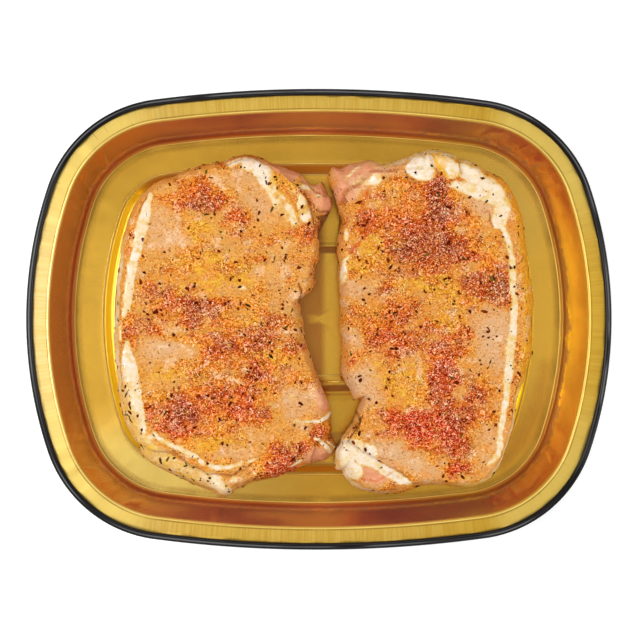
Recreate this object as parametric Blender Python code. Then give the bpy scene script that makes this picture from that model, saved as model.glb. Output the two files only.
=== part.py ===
"""Family pack of two seasoned pork loin chops in a rolled-edge foil tray.

Metres, +Z up, length along X. The tray stands on its outer floor ring at Z = 0.
"""
import math

import bmesh
import bpy

MM = 0.001
SHARP_ANGLE = math.radians(35.0)

# Foil tray, outside sizes at the rolled rim
TRAY_LENGTH = 235.0 * MM
TRAY_WIDTH = 185.0 * MM
TRAY_HEIGHT = 36.0 * MM
END_RADIUS = 167.0 * MM
SIDE_RADIUS = 502.0 * MM
CORNER_RADIUS = 52.0 * MM
SHEET = 0.7 * MM

# Rolled bead and flange
BEAD_DIAMETER = 2.8 * MM
BEAD_STEPS = 10
FLANGE_END = 8.7 * MM
RIDGE_INSET = 8.0 * MM
RIDGE_WIDTH = 1.2 * MM
RIDGE_HEIGHT = 0.4 * MM

# Wall and floor; insets are measured in from the outer rim line
WALL_TOP_INSET = 9.3 * MM
WALL_FOOT_INSET = 13.3 * MM
FLOOR_INSET = 14.4 * MM
WALL_TOP_DROP = 0.9 * MM
WALL_FOOT_RISE = 1.9 * MM
PANEL_INSET = 27.3 * MM
PANEL_SLOPE = 3.2 * MM
PANEL_RISE = 1.2 * MM
PLATEAU_LENGTH = 122.0 * MM
PLATEAU_WIDTH = 56.0 * MM
PLATEAU_CORNER = 14.0 * MM
PLATEAU_SLOPE = 2.8 * MM
PLATEAU_RISE = 0.6 * MM

# Facets in one quarter of a tray ring
END_FACETS = 4
CORNER_FACETS = 10
SIDE_FACETS = 5

# Chops
CLEARANCE = 0.3 * MM
EDGE_FACETS = 84
TOP_RINGS = (0.86, 0.66, 0.44, 0.22)
WAIST_LEVEL = 0.36
FOOT_INSET = 2.8 * MM
FOOT_CURVE_INSET = 0.9 * MM
FOOT_CURVE_LEVEL = 0.12
# Share of the shoulder width and of the height, from the waist up to the top edge
SHOULDER_RUN = ((0.12, 0.60), (0.38, 0.84), (0.70, 0.96), (1.0, 1.0))

LEFT_MIDDLE = (-40.5 * MM, -2.6 * MM)
RIGHT_MIDDLE = (48.1 * MM, -1.4 * MM)
LEFT_THICKNESS = 21.0 * MM
RIGHT_THICKNESS = 21.5 * MM

# Reach of the edge from the middle, in mm, every 15 degrees starting toward +X
LEFT_REACH = (34, 35, 44.5, 58.5, 71, 72, 67.5, 65.5, 63.5, 56, 48.5, 45,
              44, 45, 49, 56.5, 63, 65.5, 68.5, 66.5, 67, 66, 47, 37)
RIGHT_REACH = (40.5, 42, 45, 52.5, 63, 68, 71.5, 69.5, 67.5, 57, 46.5, 40.5,
               39, 40, 44, 48, 73.5, 73, 68, 69.5, 59.5, 48, 43.5, 41.5)

# Sharper lobes and notches of the edge: from bearing, to bearing, softness, push in mm
LEFT_LOBES = (
    (20, 26, 0.8, 2.5),
    (14, 19, 1.0, -1.5),
    (45, 54, 0.7, 8.0),
    (80, 88, 1.5, 1.5),
    (268, 273, 1.0, 3.0),
    (303, 314, 0.8, 3.0),
    (316, 321, 1.0, -2.5),
)
RIGHT_LOBES = (
    (112, 128.6, 0.5, 8.0),
    (121.5, 127.6, 0.6, 5.0),
    (97, 104, 1.5, -1.0),
    (63, 68, 1.5, 1.0),
    (225, 231.2, 0.5, -5.0),
    (231.2, 237, 0.5, 6.5),
    (244, 254, 1.5, 1.0),
    (261, 268, 1.5, -1.5),
    (290, 296, 1.5, 1.5),
)

# Width of the rounded shoulder in plan: from bearing, to bearing, softness, mm added
SHOULDER = 4.2 * MM
LEFT_SHOULDERS = (
    (212, 270, 5.0, 6.5),
    (300, 319, 2.5, 7.0),
    (43, 56, 1.5, 9.0),
    (58, 84, 3.0, 5.0),
)
RIGHT_SHOULDERS = (
    (-30, 55, 6.0, 2.2),
    (60, 108, 4.0, 2.5),
    (113, 130, 1.5, 10.0),
    (232, 262, 3.0, 2.0),
)

# Swells and dips of the top: bearing, share of the reach, spread in mm, lift in mm
LEFT_SWELLS = (
    (118, 0.45, 26, 1.0),
    (285, 0.40, 24, 0.8),
    (200, 0.55, 20, -0.9),
    (70, 0.80, 15, -2.0),
    (310, 0.85, 12, -2.2),
    (10, 0.60, 18, 0.6),
)
RIGHT_SWELLS = (
    (75, 0.50, 26, 1.2),
    (270, 0.45, 24, 0.7),
    (180, 0.55, 20, -0.8),
    (122, 0.85, 15, -2.6),
    (240, 0.80, 12, 0.9),
    (350, 0.60, 18, -0.5),
)


def clear_scene():
    for item in list(bpy.data.objects):
        bpy.data.objects.remove(item, do_unlink=True)


def make_material(name, colour, metallic, roughness):
    material = bpy.data.materials.new(name)
    material.use_nodes = True
    shader = material.node_tree.nodes["Principled BSDF"]
    shader.inputs["Base Color"].default_value = (*colour, 1.0)
    shader.inputs["Metallic"].default_value = metallic
    shader.inputs["Roughness"].default_value = roughness
    material.diffuse_color = (*colour, 1.0)
    return material


def add_body(name, rings, first_cap, last_cap, material):
    """Skin a stack of equal rings into one body and close both ends to a centre point."""
    shell = bmesh.new()
    loops = [[shell.verts.new(point) for point in ring] for ring in rings]
    count = len(loops[0])
    for lower, upper in zip(loops, loops[1:]):
        for step in range(count):
            after = (step + 1) % count
            shell.faces.new((lower[step], lower[after], upper[after], upper[step]))
    for loop, centre in ((loops[0], first_cap), (loops[-1], last_cap)):
        lid = shell.faces.new(loop)
        middle = bmesh.ops.poke(shell, faces=[lid])["verts"][0]
        middle.co = centre
    bmesh.ops.recalc_face_normals(shell, faces=shell.faces)
    mesh = bpy.data.meshes.new(name)
    shell.to_mesh(mesh)
    shell.free()
    mesh.materials.append(material)
    mesh.shade_smooth()
    mesh.set_sharp_from_angle(angle=SHARP_ANGLE)
    body = bpy.data.objects.new(name, mesh)
    bpy.context.scene.collection.objects.link(body)
    return body


def quarter_outline(half_length, half_width, end_radius, side_radius, corner_radius):
    """Quarter of a bowed rectangle made of three tangent arcs, from +X round to +Y."""
    end_x = half_length - end_radius
    side_y = half_width - side_radius
    end_gap = end_radius - corner_radius
    side_gap = side_radius - corner_radius
    span = math.hypot(end_x, side_y)
    along = (end_gap ** 2 - side_gap ** 2 + span ** 2) / (2.0 * span)
    aside = math.sqrt(max(end_gap ** 2 - along ** 2, 0.0))
    unit_x = -end_x / span
    unit_y = side_y / span
    corner_x = end_x + along * unit_x - aside * unit_y
    corner_y = along * unit_y + aside * unit_x
    end_turn = math.atan2(corner_y, corner_x - end_x)
    side_turn = math.atan2(corner_y - side_y, corner_x)
    points = []
    for step in range(END_FACETS):
        turn = end_turn * step / END_FACETS
        points.append((end_x + end_radius * math.cos(turn), end_radius * math.sin(turn)))
    for step in range(CORNER_FACETS):
        turn = end_turn + (side_turn - end_turn) * step / CORNER_FACETS
        x = corner_x + corner_radius * math.cos(turn)
        y = corner_y + corner_radius * math.sin(turn)
        points.append((x, y))
    for step in range(SIDE_FACETS):
        turn = side_turn + (math.pi / 2.0 - side_turn) * step / SIDE_FACETS
        points.append((side_radius * math.cos(turn), side_y + side_radius * math.sin(turn)))
    points.append((0.0, half_width))
    return points


def full_ring(quarter, height):
    """Mirror a quarter outline into a closed counter-clockwise ring at one height."""
    first = quarter[:-1]
    second = [(-x, y) for x, y in reversed(quarter)][:-1]
    third = [(-x, -y) for x, y in quarter][:-1]
    fourth = [(x, -y) for x, y in reversed(quarter)][:-1]
    return [(x, y, height) for x, y in first + second + third + fourth]


def tray_ring(inset, height):
    quarter = quarter_outline(
        TRAY_LENGTH / 2.0 - inset,
        TRAY_WIDTH / 2.0 - inset,
        END_RADIUS - inset,
        SIDE_RADIUS - inset,
        CORNER_RADIUS - inset,
    )
    return full_ring(quarter, height)


def plateau_ring(growth, height):
    quarter = quarter_outline(
        PLATEAU_LENGTH / 2.0 + growth,
        PLATEAU_WIDTH / 2.0 + growth,
        END_RADIUS,
        SIDE_RADIUS,
        PLATEAU_CORNER + growth,
    )
    return full_ring(quarter, height)


def tray_rings():
    """Rings from the middle of the underside, out round the bead and back to the middle inside."""
    bead_radius = BEAD_DIAMETER / 2.0
    bead_z = TRAY_HEIGHT - bead_radius
    flange_under = TRAY_HEIGHT - BEAD_DIAMETER
    flange_top = flange_under + SHEET
    ridge = RIDGE_WIDTH / 2.0
    wall_high = flange_top - WALL_TOP_DROP
    rings = [
        plateau_ring(0.0, PANEL_RISE + PLATEAU_RISE),
        plateau_ring(PLATEAU_SLOPE, PANEL_RISE),
        tray_ring(PANEL_INSET + PANEL_SLOPE, PANEL_RISE),
        tray_ring(PANEL_INSET, 0.0),
        tray_ring(FLOOR_INSET - SHEET * 0.5, 0.0),
        tray_ring(WALL_FOOT_INSET - SHEET, WALL_FOOT_RISE - SHEET * 0.4),
        tray_ring(WALL_TOP_INSET - SHEET, wall_high - SHEET),
        tray_ring(FLANGE_END - SHEET, flange_under),
    ]
    sweep = math.pi * 1.5 + math.asin((bead_radius - SHEET) / bead_radius)
    for step in range(BEAD_STEPS + 1):
        turn = -math.pi / 2.0 - step * sweep / BEAD_STEPS
        inset = bead_radius + bead_radius * math.cos(turn)
        rings.append(tray_ring(inset, bead_z + bead_radius * math.sin(turn)))
    rings.append(tray_ring(RIDGE_INSET - ridge, flange_top))
    rings.append(tray_ring(RIDGE_INSET, flange_top + RIDGE_HEIGHT))
    rings.append(tray_ring(RIDGE_INSET + ridge, flange_top))
    rings.append(tray_ring(WALL_TOP_INSET, wall_high))
    rings.append(tray_ring(WALL_FOOT_INSET, WALL_FOOT_RISE))
    rings.append(tray_ring(WALL_FOOT_INSET + SHEET * 0.5, SHEET * 1.6))
    rings.append(tray_ring(FLOOR_INSET, SHEET))
    rings.append(tray_ring(PANEL_INSET, SHEET))
    rings.append(tray_ring(PANEL_INSET + PANEL_SLOPE, SHEET + PANEL_RISE))
    rings.append(plateau_ring(PLATEAU_SLOPE, SHEET + PANEL_RISE))
    rings.append(plateau_ring(0.0, SHEET + PANEL_RISE + PLATEAU_RISE))
    return rings


def smooth_between(values, bearing):
    """Smooth closed curve through values spaced evenly round the circle."""
    count = len(values)
    place = (bearing % 360.0) * count / 360.0
    index = int(math.floor(place))
    part = place - index
    before, here, after, beyond = (values[(index + shift) % count] for shift in (-1, 0, 1, 2))
    slope = after - before
    bend = 2.0 * before - 5.0 * here + 4.0 * after - beyond
    twist = 3.0 * here - before - 3.0 * after + beyond
    return here + 0.5 * (slope * part + bend * part ** 2 + twist * part ** 3)


def window(bearing, start, end, soft):
    """One between two bearings and nought outside, with soft shoulders."""
    middle = (start + end) / 2.0
    half = (end - start) / 2.0
    off = abs((bearing - middle + 180.0) % 360.0 - 180.0)
    return 1.0 / (1.0 + math.exp(min((off - half) / soft, 60.0)))


def windows_sum(bearing, windows):
    return sum(push * window(bearing, start, end, soft) for start, end, soft, push in windows)


def edge_reach(bearing, reaches, lobes):
    return (smooth_between(reaches, bearing) + windows_sum(bearing, lobes)) * MM


def swell_points(swells, reaches):
    spots = []
    for bearing, share, spread, lift in swells:
        turn = math.radians(bearing)
        reach = smooth_between(reaches, bearing) * MM * share
        spots.append((reach * math.cos(turn), reach * math.sin(turn), spread * MM, lift * MM))
    return spots


def top_lift(x, y, spots):
    lift = 0.0
    for spot_x, spot_y, spread, height in spots:
        far = math.hypot(x - spot_x, y - spot_y) / spread
        lift += height * math.exp(-far * far)
    return lift


def add_chop(name, middle, thickness, reaches, lobes, shoulders, swells, material):
    rest = SHEET + PANEL_RISE + PLATEAU_RISE + CLEARANCE
    spots = swell_points(swells, reaches)
    bearings = [360.0 * step / EDGE_FACETS for step in range(EDGE_FACETS)]
    reach = [edge_reach(bearing, reaches, lobes) for bearing in bearings]
    shoulder = [SHOULDER + windows_sum(bearing, shoulders) * MM for bearing in bearings]

    def place(step, distance, level, lifted):
        turn = math.radians(bearings[step])
        x = distance * math.cos(turn)
        y = distance * math.sin(turn)
        z = rest + thickness * level
        if lifted:
            z += top_lift(x, y, spots) * level
        return (middle[0] + x, middle[1] + y, z)

    steps = range(EDGE_FACETS)
    rings = [[place(step, reach[step] - FOOT_INSET, 0.0, False) for step in steps]]
    rings.append([place(step, reach[step] - FOOT_CURVE_INSET, FOOT_CURVE_LEVEL, False) for step in steps])
    rings.append([place(step, reach[step], WAIST_LEVEL, False) for step in steps])
    for run, level in SHOULDER_RUN:
        rings.append([place(step, reach[step] - shoulder[step] * run, level, True) for step in steps])
    for share in TOP_RINGS:
        rings.append([place(step, (reach[step] - shoulder[step]) * share, 1.0, True) for step in steps])
    first_cap = (middle[0], middle[1], rest)
    last_cap = place(0, 0.0, 1.0, True)
    return add_body(name, rings, first_cap, last_cap, material)


def main():
    clear_scene()
    gold_foil = make_material("gold_foil", (0.80, 0.52, 0.14), 1.0, 0.32)
    meat_left = make_material("seasoned_meat_left", (0.76, 0.42, 0.19), 0.0, 0.35)
    meat_right = make_material("seasoned_meat_right", (0.74, 0.38, 0.17), 0.0, 0.35)

    rings = tray_rings()
    under_cap = (0.0, 0.0, PANEL_RISE + PLATEAU_RISE)
    inside_cap = (0.0, 0.0, SHEET + PANEL_RISE + PLATEAU_RISE)
    add_body("tray", rings, under_cap, inside_cap, gold_foil)

    add_chop("chop_left", LEFT_MIDDLE, LEFT_THICKNESS, LEFT_REACH, LEFT_LOBES,
             LEFT_SHOULDERS, LEFT_SWELLS, meat_left)
    add_chop("chop_right", RIGHT_MIDDLE, RIGHT_THICKNESS, RIGHT_REACH, RIGHT_LOBES,
             RIGHT_SHOULDERS, RIGHT_SWELLS, meat_right)


main()
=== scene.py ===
"""Looks of the family pack of seasoned pork chops in a rolled-edge foil tray."""

import math
from types import SimpleNamespace

import bpy
import numpy as np
from mathutils import Matrix, Vector


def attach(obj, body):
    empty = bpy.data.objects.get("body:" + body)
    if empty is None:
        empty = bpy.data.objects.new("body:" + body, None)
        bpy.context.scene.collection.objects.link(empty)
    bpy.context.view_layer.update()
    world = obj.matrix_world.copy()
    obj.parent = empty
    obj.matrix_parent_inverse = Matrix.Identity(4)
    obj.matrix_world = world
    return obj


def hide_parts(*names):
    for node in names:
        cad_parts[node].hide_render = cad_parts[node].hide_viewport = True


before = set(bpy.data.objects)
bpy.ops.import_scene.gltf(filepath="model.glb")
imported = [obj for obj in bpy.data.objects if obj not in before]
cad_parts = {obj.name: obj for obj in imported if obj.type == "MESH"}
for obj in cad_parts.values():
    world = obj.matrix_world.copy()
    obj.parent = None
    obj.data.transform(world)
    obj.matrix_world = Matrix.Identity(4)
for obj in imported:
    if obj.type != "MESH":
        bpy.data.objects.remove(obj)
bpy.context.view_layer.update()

MM = 0.001
BODY = "root"
AWAY = 200.0  # keeps the random fields' own origin off the part, in mm

# ---------------------------------------------------------------- tray sizes
# The outline, bead, floor and plateau are the source's. The ridge, the wall's top and the panel's
# slope are drawn finer than there.
TRAY_LENGTH = 235.0 * MM
TRAY_WIDTH = 185.0 * MM
TRAY_HEIGHT = 36.0 * MM
END_RADIUS = 167.0 * MM
SIDE_RADIUS = 502.0 * MM
CORNER_RADIUS = 52.0 * MM
SHEET = 0.7 * MM
BEAD_DIAMETER = 2.8 * MM
RIDGE_INSET = 8.45 * MM
RIDGE_WIDTH = 0.7 * MM
RIDGE_HEIGHT = 0.07 * MM
WALL_TOP_INSET = 9.2 * MM
WALL_FOOT_INSET = 13.3 * MM
FLOOR_INSET = 14.4 * MM
WALL_TOP_DROP = 0.5 * MM
WALL_FOOT_RISE = 1.9 * MM
FOOT_LINE_WIDTH = 0.7 * MM
FOOT_LINE_HEIGHT = 0.10 * MM
PANEL_INSET = 27.3 * MM
PANEL_SLOPE = 4.2 * MM
PANEL_RISE = 1.2 * MM
PANEL_LINE_WIDTH = 0.8 * MM
PANEL_LINE_HEIGHT = 0.08 * MM
RIB_SHARE = 0.36
RIB_HALF = 0.05
RIB_DIP = 0.35 * MM
PLATEAU_LENGTH = 122.0 * MM
PLATEAU_WIDTH = 56.0 * MM
PLATEAU_CORNER = 14.0 * MM
PLATEAU_SLOPE = 2.8 * MM
PLATEAU_RISE = 0.6 * MM
PLATEAU_TOP = SHEET + PANEL_RISE + PLATEAU_RISE
BAR_HEIGHT = 0.35 * MM
BAR_LEFT, BAR_RIGHT = -52.0, 10.8  # in mm, like its front and back
BAR_FRONT, BAR_BACK = -26.6, -23.5
SEAM_GAP = 0.05 * MM
QUARTER_FACETS = (36, 62, 38)  # end, corner and side
BEAD_STEPS = 17
WALL_STEPS = 20
EDGE_GLINT_LEVEL, TOP_GLINT_LEVEL = 5, 10
# One level of so many of each kind is repeated on the outside
OUTSIDE_EVERY = {"flange": 4, "ridge": 5, "lip": 1, "wall": 4, "foot": 1, "line": 4, "floor": 5, "slope": 2,
                 "rib": 3, "plateau": 3}

# ---------------------------------------------------------------- chop sizes
# Clearance, waist, foot and shoulder, and each chop's reaches, lobes, shoulders and swells, are the source's.
CLEARANCE = 0.3 * MM
WAIST_LEVEL = 0.36  # height of the widest point as a share of the thickness
FOOT_INSET = 2.8 * MM
SHOULDER = 4.2 * MM
FLOOR_GAP = 0.15 * MM
EDGE_RAGGED = 0.30  # in mm
FINE_BEARINGS = 2881
TOP_RINGS = 104
SIDE_RINGS = 20
FOOT_RINGS = 6

# Reaches are the edge's distances from the chop's middle every 15 degrees, in mm. Lobes and shoulders are
# (from, to, softness, push) and swells (bearing, share of the reach, spread, height). Patches are spots,
# (x, y, half-length, half-width, strength), or strips with points (x, y, half-width), in mm from the
# chop's middle. Folds are (drop, reach, points), lower on the right of the line's direction. Side fat,
# side oil, hem and clean are windows of the bearing.
LEFT = SimpleNamespace(
    node="chop_left", slot="seasoned_meat_left", middle=(-40.5 * MM, -2.6 * MM), thickness=21.0 * MM,
    seed=100, base_spice=0.28, shift=1.1,
    reaches=(34, 35, 44.5, 58.5, 71, 72, 67.5, 65.5, 63.5, 56, 48.5, 45, 44, 45, 49, 56.5, 63, 65.5, 68.5,
        66.5, 67, 66, 47, 37),
    lobes=((20, 26, 0.8, 2.5), (14, 19, 1, -1.5), (45, 56, 0.7, 6), (45, 52, 0.8, 2.2), (80, 88, 1.5, 1.5),
        (268, 273, 1, 3), (303, 314, 0.8, 3), (316, 321, 1, -2.5)),
    shoulders=((212, 270, 5, 6.5), (300, 319, 2.5, 7), (43, 56, 1.5, 9), (58, 84, 3, 5)),
    swells=((118, 0.45, 26, 1), (285, 0.4, 24, 0.8), (200, 0.55, 20, -0.9), (70, 0.8, 15, -2),
        (310, 0.85, 12, -2.2), (10, 0.6, 18, 0.6)),
    spice=((-11, 57, 6, 5, 0.75), (-8, 50, 9, 4, 1), (-21, 49, 7, 5, 0.5), (7, 43, 8, 6, 0.7),
        (14, 36, 11, 3.5, 0.35), (1, 24, 6, 4, 0.45), (-27, 14, 8, 4, 0.5), (-13, 11, 11, 7, 0.9),
        (-23, 6, 7, 4, 0.6), (-33, -1, 8, 6, 0.65), (-13, 1, 8, 4, 0.5), (-2, -8, 9, 5, 0.85),
        (8, -12, 10, 6, 0.5), (18, -6, 6, 6, 0.75), (29, -8, 6, 4, 0.85), (22, 1, 9, 3, 0.45),
        (-11, -16, 7, 4, 0.5), (13, -19, 6, 4, 0.85), (24, -20, 8, 6, 0.5), (-15, -33, 9, 6, 1),
        (-20, -41, 8, 6, 0.85), (-29, -33, 4, 6, 0.6), (-3, -29, 8, 7, 0.65), (9, -33, 8, 8, 0.9),
        (16, -36, 4, 3, 0.7), (26, -52, 9, 5, 0.9), (9, -24, 6, 6, 0.6), (22, -59, 8, 4, 0.95),
        (39, -44, 4, 6, 0.6), (-9, -44, 6, 4, 0.45), (36, 38, 5, 3, 0.4), (-1, 6, 8, 5, 0.4),
        (32, 32, 6, 14, 0.22), (14, -43, 9, 4, 0.25)),
    deep=((-7, 49, 6, 3, 0.9), (-10, 9, 6, 4, 0.9), (0, -7, 5, 4, 0.5), (18, -4, 3, 3, 0.6),
        (-14, -35, 6, 4, 1), (27, -51, 5, 3, 0.6), (-31, 3, 4, 2, 0.3), (14, -20, 3, 2, 0.4)),
    red=((7, -33, 6, 5, 0.45), (-18, -42, 6, 4, 0.55), (26, -57, 9, 4, 0.6), (14, -17, 4, 3, 0.4)),
    rose=((39, -54, 7, 5.2, 1), (25, 65.5, 9, 4.5, 0.9), (35.5, 58.5, 5, 4.5, 0.9), (42.5, 50.5, 6, 7, 1),
        (40, -30, 4, 6, 0.75)),
    oil=((-9, 40, 6, 4, 0.7), (-7, 26, 13, 4, 0.6), (2, 18, 11, 2.5, 0.9), (-17, -20, 14, 4, 0.6),
        (17, 21, 11, 5, 0.6), (22, -12, 12, 4, 0.7), (-3, -47, 12, 4, 0.8), (26, 59, 7, 7, 0.8),
        (11, 3, 8, 5, 0.5), (30, 49, 4, 6, 0.6), (-36, -30, 3, 8, 0.3)),
    pink=((-19, 35, 12, 6, 0.5), (-23, -10, 10, 5, 0.9), (16, 49, 9, 7, 0.7), (7, 59, 8, 6, 0.5),
        (-27, 42, 6, 6, 0.6), (25, 26, 10, 6, 0.2), (29, 11, 7, 6, 0.3), (3, -52, 8, 3, 0.6),
        (16, -44, 8, 4, 0.3), (33, -39, 7, 4, 0.7), (19, 19, 8, 4, 0.35), (41, -54, 6, 5, 1),
        (29, -30, 7, 6, 0.9), (28, 66, 10, 4, 1)),
    fat_spots=((28.6, -28.9, 3.4, 2.6, 0.55), (30.5, -32.5, 2.6, 1.8, 0.45), (11.5, 65, 5, 2.4, 1),
        (16.4, 62.6, 4.4, 2.8, 1), (8, 15.5, 3, 1.6, 0.7), (-7, -61.8, 3.2, 2.4, 0.8),
        (-2.9, -64.6, 3.4, 2.6, 0.9), (1.2, -67.2, 3.2, 2.4, 0.9), (4.5, -62.6, 2.6, 2.4, 0.7),
        (34.6, 57.4, 3, 1.6, 0.9), (39.5, 53.6, 2.6, 1, 0.7), (-31, -47, 4.4, 4.6, 0.8),
        (-26, -52, 8, 4.2, 0.62), (-15, -57.5, 8, 4.2, 0.62), (-4, -62, 7, 4, 0.62)),
    fat=(
        ((-29.5, 53.5, 1), (-31, 47, 2), (-33, 39, 2.2), (-35, 30.7, 2), (-36.8, 22.5, 1.9),
         (-38.2, 14.3, 1.9), (-39.2, 7, 1.6), (-39.8, 4, 0.6)),
        ((-41, 0, 0.4), (-41.4, -6, 0.4)),
        ((-39, -7.5, 1.2), (-38, -14.3, 2.6), (-37.6, -20.5, 3), (-36.4, -26.6, 3.1), (-35.6, -31.5, 3.1),
         (-34.4, -36.4, 3.2), (-33.9, -40.5, 3.2), (-33.1, -45.4, 2.6)),
        ((-27.4, -44.2, 0.8), (-25.4, -46.2, 0.9), (-21.3, -48.3, 0.9), (-17.2, -50.3, 1.1),
         (-13.1, -52.4, 1.3), (-9.8, -54.8, 1.3), (-6.5, -56.4, 1.1), (-2.5, -57.3, 1.1), (2.5, -57.7, 0.9),
         (7.4, -56, 0.8), (11.5, -55, 0.6), (14.5, -54, 0.3)),
        ((2.5, 65.6, 1), (7.4, 67.2, 1.3), (12, 66, 2.2), (16, 62, 3), (18.4, 58, 2.6), (21, 53.6, 2.2),
         (23.5, 50, 2.8), (26.6, 46.4, 2.8), (29.4, 42.6, 1.6)),
        ((31.3, 53.5, 0.8), (32.2, 49.5, 2.2), (34, 45, 2.5)),
    ),
    broken=((27, 52, 9, 10, 0.8), (-24, -47, 6, 3, 0.7), (-10, -55, 6, 3, 0.8), (6, -57, 8, 3, 0.8)),
    membrane=(
        ((29, -39.2, 0.25), (34, -39.5, 0.45), (39.3, -39.3, 0.6), (42.1, -37.6, 1), (43.2, -36, 0.8)),
        ((37.6, -46.2, 0.5), (40.4, -47.2, 0.8), (43, -49.6, 0.9), (44.2, -52, 0.6)),
        ((44, -47.6, 0.4), (45.6, -50.2, 0.5)),
        ((27.8, -57.7, 0.5), (31.9, -54.8, 0.7)),
    ),
    stream=(),
    crease=(
        ((31.5, 57, 0.15), (33.5, 53.2, 0.3), (36, 50.3, 0.35), (40.9, 46.8, 0.35), (44.5, 46.4, 0.25)),
        ((33.5, 60.5, 0.15), (37.5, 56.4, 0.3), (42.5, 53.4, 0.25)),
        ((42, 56.5, 0.1), (45.4, 52, 0.3), (46.2, 47.5, 0.4), (44, 44.6, 0.3)),
        ((-31, 53, 0.2), (-34, 46, 0.2)),
        ((31, 17, 0.3), (32, 13, 0.4), (31.5, 9, 0.3)),
        ((-2, 64, 0.15), (3, 66, 0.2), (8, 67.8, 0.15)),
    ),
    seam=(
        ((24, 57, 0.2), (28, 52, 0.3), (31, 46, 0.2)),
        ((22, -54, 0.3), (30, -52, 0.3), (36, -49, 0.3)),
    ),
    folds=(
        (2, 11, ((38.5, 38), (37.2, 42.5), (35.6, 47), (34, 51.1), (31.9, 54.8), (27, 60), (22, 64))),
        (1.3, 4, ((37, 49), (39, 46.4), (42.4, 45), (45.4, 46), (46, 49), (44.5, 53), (40.5, 56))),
        (1.4, 6, ((36, -59), (36.2, -54), (37.6, -48.5), (42, -45.4))),
        (1.4, 6, ((-36, -47), (-27.5, -50.5), (-19, -52), (-12.5, -57), (-5, -60), (4, -60.2), (9, -57.6))),
    ),
    side_fat=((138, 276, 4, 1),),
    side_oil=((240, 276, 6, 0.4),),
    hem=((214, 268, 2, 1),),
    clean=((120, 280, 4, 1),),
)
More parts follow.
